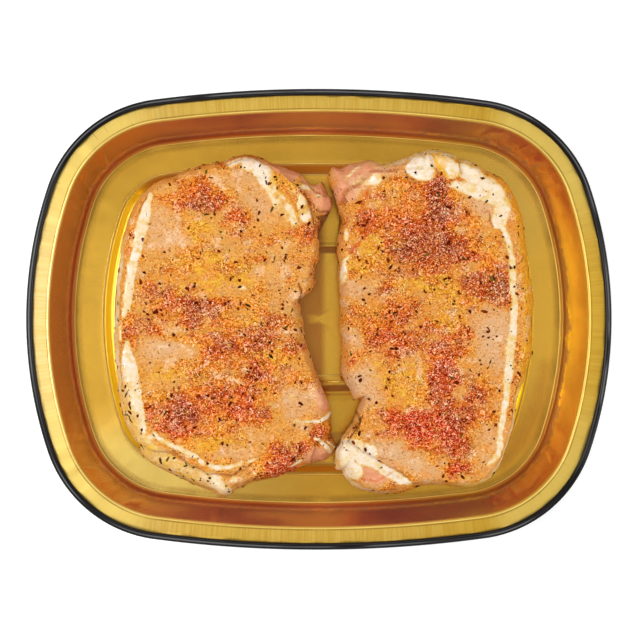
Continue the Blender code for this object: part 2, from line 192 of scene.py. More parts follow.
RIGHT = SimpleNamespace(
    node="chop_right", slot="seasoned_meat_right", middle=(48.1 * MM, -1.4 * MM), thickness=21.5 * MM,
    seed=300, base_spice=0.3, shift=-1.0,
    reaches=(40.5, 42, 45, 52.5, 63, 68, 71.5, 69.5, 67.5, 57, 46.5, 40.5, 39, 40, 44, 48, 73.5, 73, 68, 69.5,
        59.5, 48, 43.5, 41.5),
    lobes=((110, 128.6, 0.7, 3.8), (116.5, 128.6, 2.2, 4.2), (122.5, 127.6, 0.6, 4.6), (97, 104, 1.5, -1),
        (63, 68, 1.5, 1), (225, 231.2, 0.5, -5), (231.2, 237, 0.5, 6.5), (244, 254, 1.5, 1),
        (261, 268, 1.5, -1.5), (290, 296, 1.5, 1.5)),
    shoulders=((-30, 55, 6, 2.2), (60, 108, 4, 2.5), (113, 130, 1.5, 10), (232, 262, 3, 2)),
    swells=((75, 0.5, 26, 1.2), (270, 0.45, 24, 0.7), (180, 0.55, 20, -0.8), (122, 0.85, 15, -2.6),
        (240, 0.8, 12, 0.9), (350, 0.6, 18, -0.5)),
    spice=((0, 54, 7, 5, 0.9), (2, 46, 7, 7, 1), (11, 44, 6, 4, 0.7), (-2, 38, 9, 6, 0.8),
        (-14, 44, 8, 7, 0.5), (-18, 38, 7, 5, 0.45), (-8, 30, 12, 7, 0.9), (2, 30, 10, 6, 0.9),
        (-3, 21, 9, 5, 0.75), (-26, 48, 8, 8, 0.45), (-27, 39, 4, 6, 0.45), (20, 34, 9, 5, 0.25),
        (17, 25, 10, 3.5, 0.4), (15, 17, 9, 5, 0.85), (25, 14, 7, 7, 0.95), (-13, 5, 9, 6, 0.65),
        (-23, 14, 3, 2, 0.7), (-18, -6, 11, 8, 0.72), (-5, -6, 8, 8, 0.5), (14, -3, 5, 5, 0.6),
        (5, -21, 7, 6, 0.85), (3, -30, 7, 7, 0.75), (-11, -39, 11, 4, 1), (-4, -45, 11, 6, 1),
        (7, -40, 9, 8, 0.95), (9, -51, 6, 6, 0.85), (10, -60, 5, 6, 0.9), (-20, -47, 7, 3, 0.6),
        (19, -34, 7, 8, 0.5), (20, -28, 4, 3, 0.7), (-24, -37, 3, 2, 0.6), (-34, -17, 3, 3, 0.6),
        (5, -9, 6, 8, 0.5)),
    deep=((1, 53, 5, 4, 0.7), (2, 46, 6, 6, 1), (-8, 30, 10, 6, 0.8), (4, 30, 8, 5, 0.8), (14, 17, 7, 4, 0.6),
        (25, 14, 6, 6, 0.9), (5, -21, 4, 4, 0.5), (8, -40, 8, 7, 0.8), (9, -50, 5, 5, 0.6),
        (-2, 39, 6, 4, 0.5)),
    red=((-8, -38.5, 11, 4.5, 1), (-2, -44, 11, 5, 1), (7, -50, 5, 5, 0.6), (-18, -8, 7, 8, 0.5),
        (10, -60, 5, 5, 0.9), (4, -21, 5, 7, 0.5)),
    rose=((-33, 63, 10, 5, 1), (-37.5, 54, 4.5, 5, 1), (-22.6, -62, 8.6, 4.4, 1), (-16, 67, 7, 2.2, 0.8)),
    oil=((-25, 31, 6, 4, 0.8), (3, 13, 8, 5, 0.7), (7, 1, 8, 6, 0.6), (-9, -21, 8, 5, 0.5),
        (-22, -22, 7, 6, 0.6), (-12, -30, 7, 3.5, 0.5), (20, -12, 5, 3, 0.7), (2, 65, 2, 5, 1),
        (-30, 25, 8, 4, 0.4), (-14, 15, 8, 4, 0.5)),
    pink=((20, 48, 7, 5, 0.8), (23, -2, 8, 8, 0.9), (23, -12, 7, 7, 0.9), (-28, -24, 7, 6, 0.8),
        (-32, -27, 6, 8, 1), (-24, -32, 6, 5, 0.6), (-32, 15, 6, 4, 0.7), (-18, -53, 9, 5, 1),
        (-6, -59, 8, 6, 0.8), (22, -52, 6, 9, 0.7), (-34, -7, 3, 6, 0.6), (-33, 62, 9, 7, 1),
        (-18, 66, 8, 4, 0.8), (-24, -64, 7, 4, 1)),
    fat_spots=((-9.6, 62.4, 3, 2.9, 1), (-6, 64.5, 4.2, 4, 1), (-2.2, 64.8, 3.6, 4.6, 1),
        (-4.6, 59.8, 4.4, 2.2, 1), (3.6, 66, 3, 4, 1), (6.6, 62.5, 3, 4.2, 1), (11.6, 63.2, 3, 3.2, 0.95),
        (15.4, 59.8, 5, 4.2, 0.95), (20.6, 56.4, 5, 4.4, 0.95), (25.4, 51.8, 4.2, 4.6, 0.95),
        (28.4, 46.4, 2.8, 4, 0.9), (26.2, 42.2, 4, 5, 1), (-35.8, -56.4, 3.6, 6.6, 0.9),
        (-32.4, -50.6, 5.4, 4.4, 1), (-37, -52.4, 3, 4.4, 1), (-27, -52.6, 4.4, 3.2, 0.95),
        (-32.8, -60.6, 4.4, 4.6, 0.95), (-27.4, -55.4, 3.2, 2.8, 1), (-26.5, -67, 6, 1.8, 0.5),
        (-36, 35.6, 1.6, 4.6, 0.7), (-19, 62, 4.5, 3, 0.35), (19, 49.5, 5, 2.5, 0.3)),
    fat=(
        ((8.6, 56.6, 1.6), (12, 55, 2.4), (17.5, 52.6, 2.6), (24.5, 50, 2.6), (28.2, 46.6, 2.2)),
        ((27.6, 39.4, 1.2), (29.9, 33.5, 1.2), (31.1, 27.4, 1.2), (31.9, 19.2, 1.3), (32.3, 11, 1.2),
         (32.3, 4.1, 1.4), (31.9, -3.3, 1.7), (31.1, -11.5, 1.8), (30.3, -19.6, 1.7), (29.4, -27.8, 1.3),
         (28.6, -33.9, 1.1), (27.8, -40, 1.1), (27, -46.2, 1.3), (26.6, -51.1, 1.3), (25.2, -55, 1),
         (21.8, -58.2, 0.5)),
        ((-30, -54.6, 3), (-26.2, -56.2, 2.4), (-22.5, -58.6, 2.1), (-17.6, -61.4, 2.2), (-13.4, -63.8, 2),
         (-9.6, -65.8, 1)),
        ((-34.4, 27, 0.6), (-36.8, 24.5, 1.1), (-37.2, 20.4, 1.2), (-36.8, 16.4, 0.8)),
        ((-29.8, 56, 0.3), (-27, 57.6, 1.4), (-24.2, 58.8, 2.5)),
        ((-36.6, 52.4, 0.25), (-31.6, 57.6, 0.35), (-27, 61, 0.25)),
    ),
    broken=(),
    membrane=(
        ((-36.4, 58.9, 0.25), (-31.1, 63.8, 0.45)),
        ((-37, -42, 0.25), (-33.5, -38.6, 0.35)),
    ),
    stream=(
        ((-1.2, 69.1, 0.5), (0.4, 65.8, 0.6), (2.5, 62.6, 0.7), (5.3, 59.3, 0.9)),
        ((9.5, 67.5, 0.3), (10.2, 63.5, 0.4)),
    ),
    crease=(
        ((-12, 62, 0.2), (-11, 58.5, 0.2), (-6, 56.8, 0.15)),
        ((-34.5, -32, 0.15), (-31.6, -36.5, 0.3), (-30.5, -40, 0.3), (-32.6, -44, 0.3), (-35, -48, 0.3)),
        ((-34.5, -40.5, 0.15), (-31.4, -43.4, 0.3)),
        ((22.6, 44.6, 0.15), (22.3, 41.5, 0.15), (24, 39.4, 0.15)),
        ((-40, 40, 0.2), (-40.3, 28, 0.25), (-39.3, 14, 0.2)),
    ),
    seam=(
        ((-39, 48.5, 0.2), (-36.8, 53, 0.35), (-33, 55.6, 0.35), (-28.5, 56.2, 0.2)),
        ((-27, 54.8, 0.3), (-28, 51.1, 0.45), (-31.1, 45, 0.45), (-28.2, 42.6, 0.3)),
        ((-28.2, 39, 0.3), (-27, 36.8, 0.45), (-32.3, 31.5, 0.55), (-33.8, 28.6, 0.45)),
        ((-22, 52, 0.2), (-20, 46, 0.2), (-23, 40, 0.2)),
        ((-18, -61.5, 0.2), (-24, -65, 0.2), (-31, -63.5, 0.2)),
    ),
    folds=(
        (1.9, 12, ((-39.4, 46), (-38.4, 49.9), (-36, 54), (-33.1, 56), (-29.4, 59.7), (-26.2, 62.2),
         (-20.5, 63.4), (-13, 63))),
        (1, 5, ((-2.4, 70), (-0.8, 66), (1.2, 62.5), (4, 59.5))),
        (1, 5, ((12.6, 58.8), (10.2, 61.5), (9.4, 67.5), (8, 70))),
        (1.2, 5, ((-38.5, -47.5), (-33, -49.4), (-27.5, -52.5), (-20.5, -56.8), (-13, -60.5), (-9.5, -64))),
    ),
    side_fat=((-82, -34, 4, 1), (70, 112, 4, 1), (232, 256, 3, 1)),
    side_oil=((-30, 66, 6, 1.6),),
    hem=(),
    clean=((-88, 60, 4, 1),),
)


# ---------------------------------------------------------------- random fields and curves
def field(x, y, cell, seed, size=128):
    """Smooth random field over x and y, about -1 to 1, with lumps the size of cell."""
    grid = np.random.default_rng(seed).uniform(-1.0, 1.0, (size, size))
    u, v = x / cell, y / cell
    i, j = np.floor(u).astype(int), np.floor(v).astype(int)
    f, g = (t * t * t * (t * (t * 6.0 - 15.0) + 10.0) for t in (u - i, v - j))

    def row(j):
        return grid[i % size, j % size] * (1 - f) + grid[(i + 1) % size, j % size] * f

    return row(j) * (1 - g) + row(j + 1) * g


def ease(low, high, value):
    """Smooth rise from nought at low to one at high."""
    t = np.clip((value - low) / (high - low), 0.0, 1.0)
    return t * t * (3.0 - 2.0 * t)


def smooth_between(values, bearing):
    """Smooth closed curve through values spaced evenly round the circle."""
    values = np.asarray(values, float)
    count = len(values)
    place = np.mod(bearing, 360.0) * count / 360.0
    index = np.floor(place).astype(int)
    part = place - index
    before, here, after, beyond = (values[(index + shift) % count] for shift in (-1, 0, 1, 2))
    slope = after - before
    bend = 2.0 * before - 5.0 * here + 4.0 * after - beyond
    twist = 3.0 * here - before - 3.0 * after + beyond
    return here + 0.5 * (slope * part + bend * part ** 2 + twist * part ** 3)


def windows_sum(bearing, windows):
    """Sum of soft windows round the circle, each (from, to, softness, push)."""
    total = np.zeros_like(bearing)
    for start, end, soft, push in windows:
        off = np.abs(np.mod(bearing - (start + end) / 2.0 + 180.0, 360.0) - 180.0)
        total += push / (1.0 + np.exp(np.clip((off - (end - start) / 2.0) / soft, -60.0, 60.0)))
    return total


def spots_cover(x, y, spots):
    """How strongly soft oval spots cover each point, nought to one; x and y in mm."""
    bare = np.ones_like(x)
    for spot_x, spot_y, long_half, wide_half, strength in spots:
        far = ((x - spot_x) / long_half) ** 2 + ((y - spot_y) / wide_half) ** 2
        bare *= 1.0 - strength * np.exp(-far ** 1.4)
    return 1.0 - bare


def line_stretches(x, y, points):
    """For each stretch of a line: its ends, and each point's share of the way, distance and side."""
    for start, end in zip(points, points[1:]):
        dx, dy = end[0] - start[0], end[1] - start[1]
        off_x, off_y = x - start[0], y - start[1]
        along = np.clip((off_x * dx + off_y * dy) / (dx * dx + dy * dy), 0.0, 1.0)
        far = np.hypot(off_x - along * dx, off_y - along * dy)
        yield start, end, along, far, np.sign(dy * off_x - dx * off_y)


def strip_edge(x, y, points):
    """How far each point lies outside a tapering strip, in mm; negative inside it."""
    best = np.full_like(x, 1e9)
    for start, end, along, far, _ in line_stretches(x, y, points):
        best = np.minimum(best, far - (start[2] + (end[2] - start[2]) * along))
    return best


def strips_cover(x, y, strips, soft):
    """How strongly strips with edges soft mm wide cover each point, nought to one."""
    cover = np.zeros_like(x)
    for points in strips:
        cover = np.maximum(cover, 1.0 - ease(-soft, soft, strip_edge(x, y, points)))
    return cover


def fold_steps(x, y, folds):
    """Drop and line shade of overlapping layers; each is lower on the right of its line."""
    drop = np.zeros_like(x)
    shade = np.zeros_like(x)
    for fall, reach, points in folds:
        nearest = np.full_like(x, 1e9)
        right = np.zeros_like(x)
        for _, _, _, far, side in line_stretches(x, y, points):
            right = np.where(far < nearest, side, right)
            nearest = np.minimum(nearest, far)
        signed = right * nearest
        to_end = np.minimum(*(np.hypot(x - end[0], y - end[1]) for end in (points[0], points[-1])))
        end_fade = np.clip(to_end / 3.0, 0, 1)
        drop += fall * ease(-0.1, 0.9, signed) * (1.0 - ease(0.3 * reach, reach, nearest)) * end_fade
        shade = np.maximum(shade, np.exp(-((signed - 0.55) / 0.42) ** 2) * end_fade)
    return drop, shade


# ---------------------------------------------------------------- mesh helpers
def mesh_object(name, verts, faces, materials, face_material=None, smooth=True):
    """A mesh object from point and face arrays; faces is a list of equal-width index arrays."""
    mesh = bpy.data.meshes.new(name)
    loops = np.concatenate([part.ravel() for part in faces]).astype(np.int32)
    sizes = np.concatenate([np.full(len(part), part.shape[1]) for part in faces]).astype(np.int32)
    starts = np.concatenate([[0], np.cumsum(sizes)[:-1]]).astype(np.int32)
    mesh.vertices.add(len(verts))
    mesh.vertices.foreach_set("co", np.asarray(verts, np.float32).ravel())
    mesh.loops.add(len(loops))
    mesh.loops.foreach_set("vertex_index", loops)
    mesh.polygons.add(len(sizes))
    mesh.polygons.foreach_set("loop_start", starts)
    mesh.polygons.foreach_set("loop_total", sizes)
    mesh.polygons.foreach_set("use_smooth", np.full(len(sizes), smooth))
    for material in materials:
        mesh.materials.append(material)
    if face_material is not None:
        mesh.polygons.foreach_set("material_index", np.asarray(face_material, np.int32))
    mesh.update(calc_edges=True)
    made = bpy.data.objects.new(name, mesh)
    bpy.context.scene.collection.objects.link(made)
    return made


def point_values(made, **masks):
    for name, values in masks.items():
        layer = made.data.attributes.new(name, "FLOAT", "POINT")
        layer.data.foreach_set("value", np.asarray(values, np.float32))


def vertex_normals(made):
    out = np.zeros(len(made.data.vertices) * 3, np.float32)
    made.data.vertex_normals.foreach_get("vector", out)
    return out.reshape(-1, 3).astype(float)


def skin_quads(start, levels, count, outward=False):
    """Quads between neighbouring levels of count points each."""
    ring = np.arange(count)
    low = start + np.arange(levels - 1)[:, None] * count
    a, b = low + ring, low + (ring + 1) % count
    corners = (a, a + count, b + count, b) if outward else (a, b, b + count, a + count)
    return np.stack(corners, 2).reshape(-1, 4)


# ---------------------------------------------------------------- tray outline
def bowed_rectangle(half_length, half_width, end_radius, side_radius, corner_radius):
    """Centres and turns of the three tangent arcs in one quarter of a bowed rectangle."""
    end_x = half_length - end_radius
    side_y = half_width - side_radius
    end_gap = end_radius - corner_radius
    side_gap = side_radius - corner_radius
    span = math.hypot(end_x, side_y)
    along = (end_gap ** 2 - side_gap ** 2 + span ** 2) / (2.0 * span)
    aside = math.sqrt(max(end_gap ** 2 - along ** 2, 0.0))
    unit_x, unit_y = -end_x / span, side_y / span
    corner = (end_x + along * unit_x - aside * unit_y, along * unit_y + aside * unit_x)
    end_turn = math.atan2(corner[1], corner[0] - end_x)
    side_turn = math.atan2(corner[1] - side_y, corner[0])
    return end_x, side_y, corner, end_turn, side_turn


def closed_outline(half_length, half_width, end_radius, side_radius, corner_radius):
    """A bowed rectangle as a closed counter-clockwise ring, mirrored from one quarter."""
    end_x, side_y, corner, end_turn, side_turn = bowed_rectangle(
        half_length, half_width, end_radius, side_radius, corner_radius)
    arcs = ((end_x, 0.0, end_radius, 0.0, end_turn), (*corner, corner_radius, end_turn, side_turn),
            (0.0, side_y, side_radius, side_turn, math.pi / 2.0))
    parts = []
    for facets, (x, y, radius, start, end) in zip(QUARTER_FACETS, arcs):
        t = start + np.arange(facets + 1) / facets * (end - start)
        parts.append(np.stack([x + radius * np.cos(t), y + radius * np.sin(t)], 1))
    quarter = np.concatenate([parts[0][:-1], parts[1][:-1], parts[2]])
    back = quarter[::-1]
    return np.concatenate([
        quarter[:-1], (back * (-1, 1))[:-1], (quarter * (-1, -1))[:-1], (back * (1, -1))[:-1]])


def tray_outline(inset):
    return closed_outline(TRAY_LENGTH / 2.0 - inset, TRAY_WIDTH / 2.0 - inset, END_RADIUS - inset,
                          SIDE_RADIUS - inset, CORNER_RADIUS - inset)


def plateau_outline(growth):
    return closed_outline(PLATEAU_LENGTH / 2.0 + growth, PLATEAU_WIDTH / 2.0 + growth, END_RADIUS,
                          SIDE_RADIUS, PLATEAU_CORNER + growth)


def floor_height(x, y):
    """Height of the tray's inner floor at each point."""
    end_x, side_y, corner, end_turn, side_turn = bowed_rectangle(
        TRAY_LENGTH / 2.0, TRAY_WIDTH / 2.0, END_RADIUS, SIDE_RADIUS, CORNER_RADIUS)
    x, y = np.abs(x), np.abs(y)
    inset = np.minimum(END_RADIUS - np.hypot(x - end_x, y), SIDE_RADIUS - np.hypot(x, y - side_y))
    turn = np.arctan2(y - corner[1], x - corner[0])
    in_corner = (turn > end_turn) & (turn < side_turn)
    inset = np.where(in_corner, CORNER_RADIUS - np.hypot(x - corner[0], y - corner[1]), inset)
    panel = ease(PANEL_INSET, PANEL_INSET + PANEL_SLOPE, inset)
    over = np.maximum(x - PLATEAU_LENGTH / 2.0, y - PLATEAU_WIDTH / 2.0)
    return SHEET + PANEL_RISE * panel + PLATEAU_RISE * (1.0 - ease(0.0, PLATEAU_SLOPE, over))


# ---------------------------------------------------------------- shader helpers
class Shader:
    """A node material with short calls for the nodes used here."""

    SOCKETS = {
        "colour": "Base Color", "metallic": "Metallic", "roughness": "Roughness",
        "coat": "Coat Weight", "coat_roughness": "Coat Roughness", "coat_tint": "Coat Tint",
        "normal": "Normal", "subsurface": "Subsurface Weight", "subsurface_radius": "Subsurface Radius",
        "subsurface_scale": "Subsurface Scale", "specular": "Specular IOR Level",
        "edge_tint": "Specular Tint", "sheen": "Sheen Weight",
        "glow": "Emission Color", "glow_strength": "Emission Strength",
    }

    def __init__(self, name):
        self.material = bpy.data.materials.new(name)
        self.material.use_nodes = True
        self.tree = self.material.node_tree
        self.coords = self.node("TexCoord").outputs["Object"]

    def feed(self, socket, value):
        if isinstance(value, bpy.types.NodeSocket):
            self.tree.links.new(value, socket)
        elif isinstance(value, tuple) and socket.type == "RGBA":
            socket.default_value = (*value, 1.0)
        else:
            socket.default_value = value

    def node(self, kind, inputs=None, **settings):
        node = self.tree.nodes.new("ShaderNode" + kind)
        for key, value in settings.items():
            setattr(node, key, value)
        for key, value in (inputs or {}).items():
            self.feed(node.inputs[key], value)
        return node

    def noise(self, scale, detail=2.0, roughness=0.5, coords=None, distortion=0.0):
        return self.node("TexNoise", {
            "Vector": coords or self.coords, "Scale": scale, "Detail": detail, "Roughness": roughness,
            "Distortion": distortion}).outputs["Fac"]

    def stretched(self, coords, scale):
        return self.node("Mapping", {"Vector": coords, "Scale": scale}).outputs["Vector"]

    def values(self, names):
        """The named point masks, in the order given."""
        return [self.node("Attribute", attribute_name=name).outputs["Fac"] for name in names.split()]

    def math(self, operation, first, second):
        return self.node("Math", {0: first, 1: second}, operation=operation).outputs["Value"]

    def plus(self, first, second):
        return self.math("ADD", first, second)

    def times(self, first, second):
        return self.math("MULTIPLY", first, second)

    def most(self, first, second):
        return self.math("MAXIMUM", first, second)

    def spread(self, value, low, high, to_low=0.0, to_high=1.0):
        return self.node("MapRange", {
            "Value": value, "From Min": low, "From Max": high, "To Min": to_low, "To Max": to_high,
        }, interpolation_type="SMOOTHSTEP").outputs["Result"]

    def mix(self, amount, first, second, blend="MIX"):
        """Two colours mixed; the node's colour sockets are inputs six and seven and output two."""
        return self.node("Mix", {0: amount, 6: first, 7: second}, data_type="RGBA",
                         blend_type=blend).outputs[2]

    def layers(self, tone, *rows):
        """Colours laid over a tone: (colour, mask, share), and two numbers to spread the mask between."""
        for colour, mask, share, *span in rows:
            amount = self.spread(mask, *span, 0.0, share) if span else self.times(mask, share)
            tone = self.mix(amount, tone, colour)
        return tone

    def ramp(self, value, stops):
        node = self.node("ValToRGB", {"Fac": value})
        bar = node.color_ramp
        while len(bar.elements) < len(stops):
            bar.elements.new(1.0)
        for element, (place, colour) in zip(bar.elements, stops):
            element.position = place
            element.color = (*colour, 1.0)
        return node.outputs["Color"]

    def bump(self, height, strength, distance, normal=None):
        node = self.node("Bump", {"Height": height, "Strength": strength, "Distance": distance})
        if normal is not None:
            self.feed(node.inputs["Normal"], normal)
        return node.outputs["Normal"]

    def set(self, **values):
        for key, value in values.items():
            self.feed(self.tree.nodes["Principled BSDF"].inputs[self.SOCKETS[key]], value)
        return self.material


# ---------------------------------------------------------------- materials
def gold_material():
    s = Shader("gold_lacquer")
    run = s.node("UVMap", uv_map="run").outputs["UV"]
    streaks = s.noise(1.0, 3.0, 0.6, s.stretched(run, (2600.0, 90.0, 1.0)))
    brushed = s.noise(1.0, 2.0, 0.6, s.stretched(run, (1500.0, 60.0, 1.0)))
    nicks = s.noise(1.0, 0.0, 0.5, s.stretched(run, (1500.0, 90.0, 1.0)))
    cloud = s.noise(26.0, 3.0)
    fine = s.noise(900.0, 2.0, 0.6)
    rim, wall, corner, across, right_side, glow, shy, crinkle = s.values(
        "rim wall corner across right_side glow shy crinkle")

    tone = s.mix(s.spread(cloud, 0.35, 0.68), (0.85, 0.465, 0.045), (0.90, 0.51, 0.055))
    # Painted light: the right side is painted yellower and brighter, a painted glow lies on parts of the
    # floor's outer ring, and painted shade on its far left end
    tone = s.layers(
        tone, ((0.95, 0.57, 0.08), streaks, 0.30, 0.3, 0.75), ((1.0, 0.58, 0.070), right_side, 0.8),
        ((1.0, 0.75, 0.20), glow, 1.0), ((0.66, 0.385, 0.035), shy, 1.0))
    # The flange's tone is painted light: paler on the left, darker on the right
    rim_low, rim_high = (s.mix(right_side, s.mix(across, *ends), far) for ends, far in (
        (((0.82, 0.57, 0.18), (0.76, 0.475, 0.060)), (0.70, 0.41, 0.030)),
        (((0.90, 0.68, 0.28), (0.86, 0.585, 0.115)), (0.80, 0.50, 0.050))))
    rim_tone = s.mix(s.spread(brushed, 0.32, 0.66), rim_low, rim_high)
    nick_share = s.times(s.spread(nicks, 0.72, 0.78, 0.0, 0.65), s.plus(corner, 0.15))
    # Painted highlight on the flange at the corners; the nicks are real marks
    rim_tone = s.layers(rim_tone, ((1.0, 0.75, 0.18), corner, 0.75), ((0.45, 0.22, 0.03), nick_share, 1.0))
    # The wall is painted brighter on the right, with painted highlights at the corners and on its crinkles
    wall_tone = s.layers(s.mix(right_side, (0.78, 0.375, 0.060), (1.0, 1.0, 0.100)),
                         ((1.0, 0.60, 0.080), corner, 0.75), ((1.0, 0.60, 0.22), crinkle, 0.85, 0.08, 0.6))
    tone = s.layers(tone, (rim_tone, rim, 1.0), (wall_tone, wall, 1.0))

    # Painted light, each with its share of the colour and of the dullness: painted shade on the lip, along
    # the wall's foot, in the dim places and beside the raised lines; a painted reflection on the panel's
    # slope; painted highlights on the raised lines' crests
    matt = s.times(rim, 0.32)
    for name, colour, share, dull in (
            ("lip", (0.50, 0.235, 0.030), 0.90, 0.80), ("foot", (0.40, 0.060, 0.006), 0.80, 0.60),
            ("dim", (0.40, 0.105, 0.011), 0.90, 0.75), ("band", (1.0, 0.72, 0.020), 0.95, 0.78),
            ("pale", (1.0, 0.74, 0.22), 0.95, 0.75), ("line_shade", (0.36, 0.18, 0.018), 0.85, 0.0)):
        mask, = s.values(name)
        tone = s.layers(tone, (colour, mask, share))
        matt = s.most(matt, s.times(mask, dull))
    rough = s.plus(s.spread(cloud, 0.3, 0.7, 0.21, 0.25), s.spread(fine, 0.3, 0.7, -0.01, 0.02))
    normal = s.bump(cloud, 0.15, 0.0012, s.bump(streaks, 0.10, 0.0002))
    return s.set(colour=tone, metallic=s.math("SUBTRACT", 1.0, matt), roughness=rough, coat=0.35,
                 coat_roughness=0.16, normal=normal, edge_tint=(1.0, 0.70, 0.40),
                 coat_tint=(1.0, 0.90, 0.65), sheen=0.06)


def black_material():
    s = Shader("black_lacquer")
    cloud = s.noise(60.0, 3.0)
    fine = s.noise(1300.0, 2.0, 0.6)
    glint, = s.values("glint")
    tone = s.mix(s.spread(cloud, 0.3, 0.7), (0.006, 0.005, 0.005), (0.012, 0.010, 0.010))
    # Painted highlight: thin pale glint lines along the bead
    tone = s.mix(glint, tone, (0.80, 0.80, 0.82))
    rough = s.plus(s.spread(cloud, 0.3, 0.7, 0.16, 0.24), s.spread(fine, 0.3, 0.7, -0.02, 0.03))
    return s.set(colour=tone, metallic=0.0, roughness=rough, coat=0.02, coat_roughness=0.06,
                 normal=s.bump(cloud, 0.25, 0.0006), specular=0.13)


def meat_material(name, flesh, flesh_warm, flesh_pink, side_tone):
    s = Shader(name)
    spice, deep, red, oil, pink, fat, crease, side = s.values("spice deep red oil pink fat crease side")
    grit, milk, rose, ivory, stream, brink, hem, seam = s.values("grit milk rose ivory stream brink hem seam")
    smear = s.stretched(s.coords, (0.6, 1.0, 1.0))
    turned = s.stretched(s.coords, (-0.8, 1.0, 1.0))
    big = s.noise(150.0, 2.0, 0.5, smear)
    mid = s.noise(420.0, 2.0, 0.6, smear)
    dapple = s.noise(330.0, 2.0, 0.5, turned)
    small = s.noise(800.0, 1.0)
    curl = s.noise(820.0, 1.0, distortion=1.9)
    spark = s.noise(1400.0, 1.0, 0.5, turned, 0.8)
    hue = s.noise(190.0, 1.0, 0.5, turned)

    def roughened(value, grain, swing, span=(0.3, 0.7)):
        """A value shaken by a noise, up to swing either way."""
        return s.plus(value, s.spread(grain, *span, -swing, swing))

    # Bare meat: smooth, with faint broad clouds
    bare = s.layers(s.mix(s.spread(big, 0.36, 0.64), flesh, flesh_warm),
                    ((0.56, 0.30, 0.085), dapple, 0.6, 0.50, 0.34), (flesh_pink, mid, 0.5, 0.54, 0.68),
                    (flesh_pink, s.times(pink, s.spread(mid, 0.2, 0.8, 0.75, 1.0)), 1.0))
    oiled = roughened(oil, mid, 0.35, (0.25, 0.75))
    golden = s.mix(s.spread(mid, 0.35, 0.65), (0.72, 0.27, 0.014), (0.78, 0.42, 0.022))

    # Seasoning: a wash that runs from gold to maroon
    cover = roughened(spice, mid, 0.16, (0.2, 0.8))
    cover = roughened(roughened(cover, dapple, -0.10), small, 0.06)
    warmer, duller = (s.mix(s.spread(cover, 0.2, 0.8), *ends) for ends in (
        ((0.78, 0.27, 0.012), (0.74, 0.10, 0.006)), ((0.66, 0.30, 0.10), (0.50, 0.12, 0.045))))
    wash = s.layers(
        s.ramp(cover, (
            (0.0, (0.71, 0.34, 0.070)), (0.22, (0.75, 0.30, 0.028)), (0.42, (0.74, 0.21, 0.012)),
            (0.62, (0.65, 0.115, 0.006)), (0.82, (0.50, 0.056, 0.005)), (1.0, (0.38, 0.034, 0.005)))),
        (warmer, hue, 0.75, 0.53, 0.66), (duller, hue, 0.65, 0.47, 0.34),
        ((0.28, 0.020, 0.012), deep, 0.70), ((0.62, 0.022, 0.004), red, 0.95))
    damp = s.spread(roughened(grit, small, 0.20), 0.05, 0.90)
    tone = s.layers(s.mix(damp, bare, wash), (golden, oiled, 0.74, 0.25, 0.95),
                    ((0.82, 0.56, 0.36), milk, s.spread(curl, 0.40, 0.62, 0.30, 1.0)))

    # Damp grains: painted shade in the gaps and pits, darker fine specks on bare meat, and painted highlights
    # on the crests and pale specks, of the same hue
    rough_zone = s.times(s.spread(damp, 0.0, 1.0, 0.24, 1.0), s.spread(pink, 0.0, 1.0, 1.0, 0.35))
    core = s.spread(cover, 0.50, 0.85)
    gap = s.times(s.spread(curl, 0.49, 0.40), s.spread(cover, 0.1, 0.7, 0.60, 1.0))
    pit = s.times(s.spread(spark, 0.38, 0.30), s.spread(damp, 0.0, 1.0, 0.26, 0.9))
    sand = s.times(s.spread(spark, 0.47, 0.40), s.spread(damp, 0.0, 1.0, 0.75, 0.0))
    glint = s.times(s.spread(curl, 0.54, 0.62), rough_zone)
    crest = s.times(s.spread(curl, 0.58, 0.64), core)
    pale = s.times(s.spread(spark, 0.63, 0.72), s.spread(damp, 0.0, 1.0, 0.20, 0.9))
    for blend, colour, amount in (
            ("MULTIPLY", s.mix(core, (0.44, 0.25, 0.06), (0.31, 0.14, 0.06)), s.times(gap, rough_zone)),
            ("MULTIPLY", (0.36, 0.13, 0.02), pit),
            ("MULTIPLY", (0.72, 0.56, 0.34), s.times(sand, s.spread(dapple, 0.36, 0.58, 0.25, 1.0))),
            ("ADD", (0.20, 0.14, 0.060), glint),
            ("ADD", (0.32, 0.30, 0.25), s.times(crest, s.spread(red, 0.3, 1.0, 1.0, 0.45))),
            ("ADD", (0.34, 0.30, 0.20), pale)):
        tone = s.mix(amount, tone, colour, blend)

    # Fat: ivory to oily gold, with a mottled hem, then the lines and the sides; the crease lines carry
    # painted shade along creases and fold steps
    rose_tone = s.mix(s.spread(mid, 0.3, 0.7), (0.64, 0.25, 0.130), (0.74, 0.34, 0.180))
    fat_tone = s.mix(roughened(ivory, mid, 0.35, (0.2, 0.8)), (0.76, 0.58, 0.30), (0.81, 0.70, 0.58))
    hem_tone = s.layers(s.mix(s.spread(mid, 0.42, 0.60), (0.71, 0.40, 0.065), (0.77, 0.53, 0.21)),
                        ((0.78, 0.48, 0.050), dapple, 0.85, 0.50, 0.62),
                        ((0.52, 0.30, 0.08), small, 0.5, 0.46, 0.36))
    fat_tone = s.layers(
        fat_tone, ((0.72, 0.44, 0.10), roughened(fat, small, 0.22, (0.2, 0.8)), 0.9, 0.92, 0.40),
        ((0.70, 0.46, 0.10), dapple, 0.60, 0.54, 0.66), ((0.66, 0.44, 0.20), curl, 0.35, 0.40, 0.34),
        ((0.74, 0.42, 0.060), oiled, 0.75, 0.30, 0.95), (hem_tone, hem, 0.95))
    tone = s.layers(
        tone, (rose_tone, rose, 0.92), (fat_tone, roughened(fat, small, 0.20, (0.2, 0.8)), 1.0, 0.10, 0.70),
        ((0.76, 0.40, 0.025), stream, 0.9), ((0.60, 0.085, 0.008), seam, 0.8),
        (s.mix(fat, side_tone, (0.66, 0.44, 0.16)), side, s.spread(rose, 0.0, 1.0, 0.70, 0.15)),
        ((0.30, 0.060, 0.010), crease, s.spread(fat, 0.0, 1.0, 0.85, 0.45)))

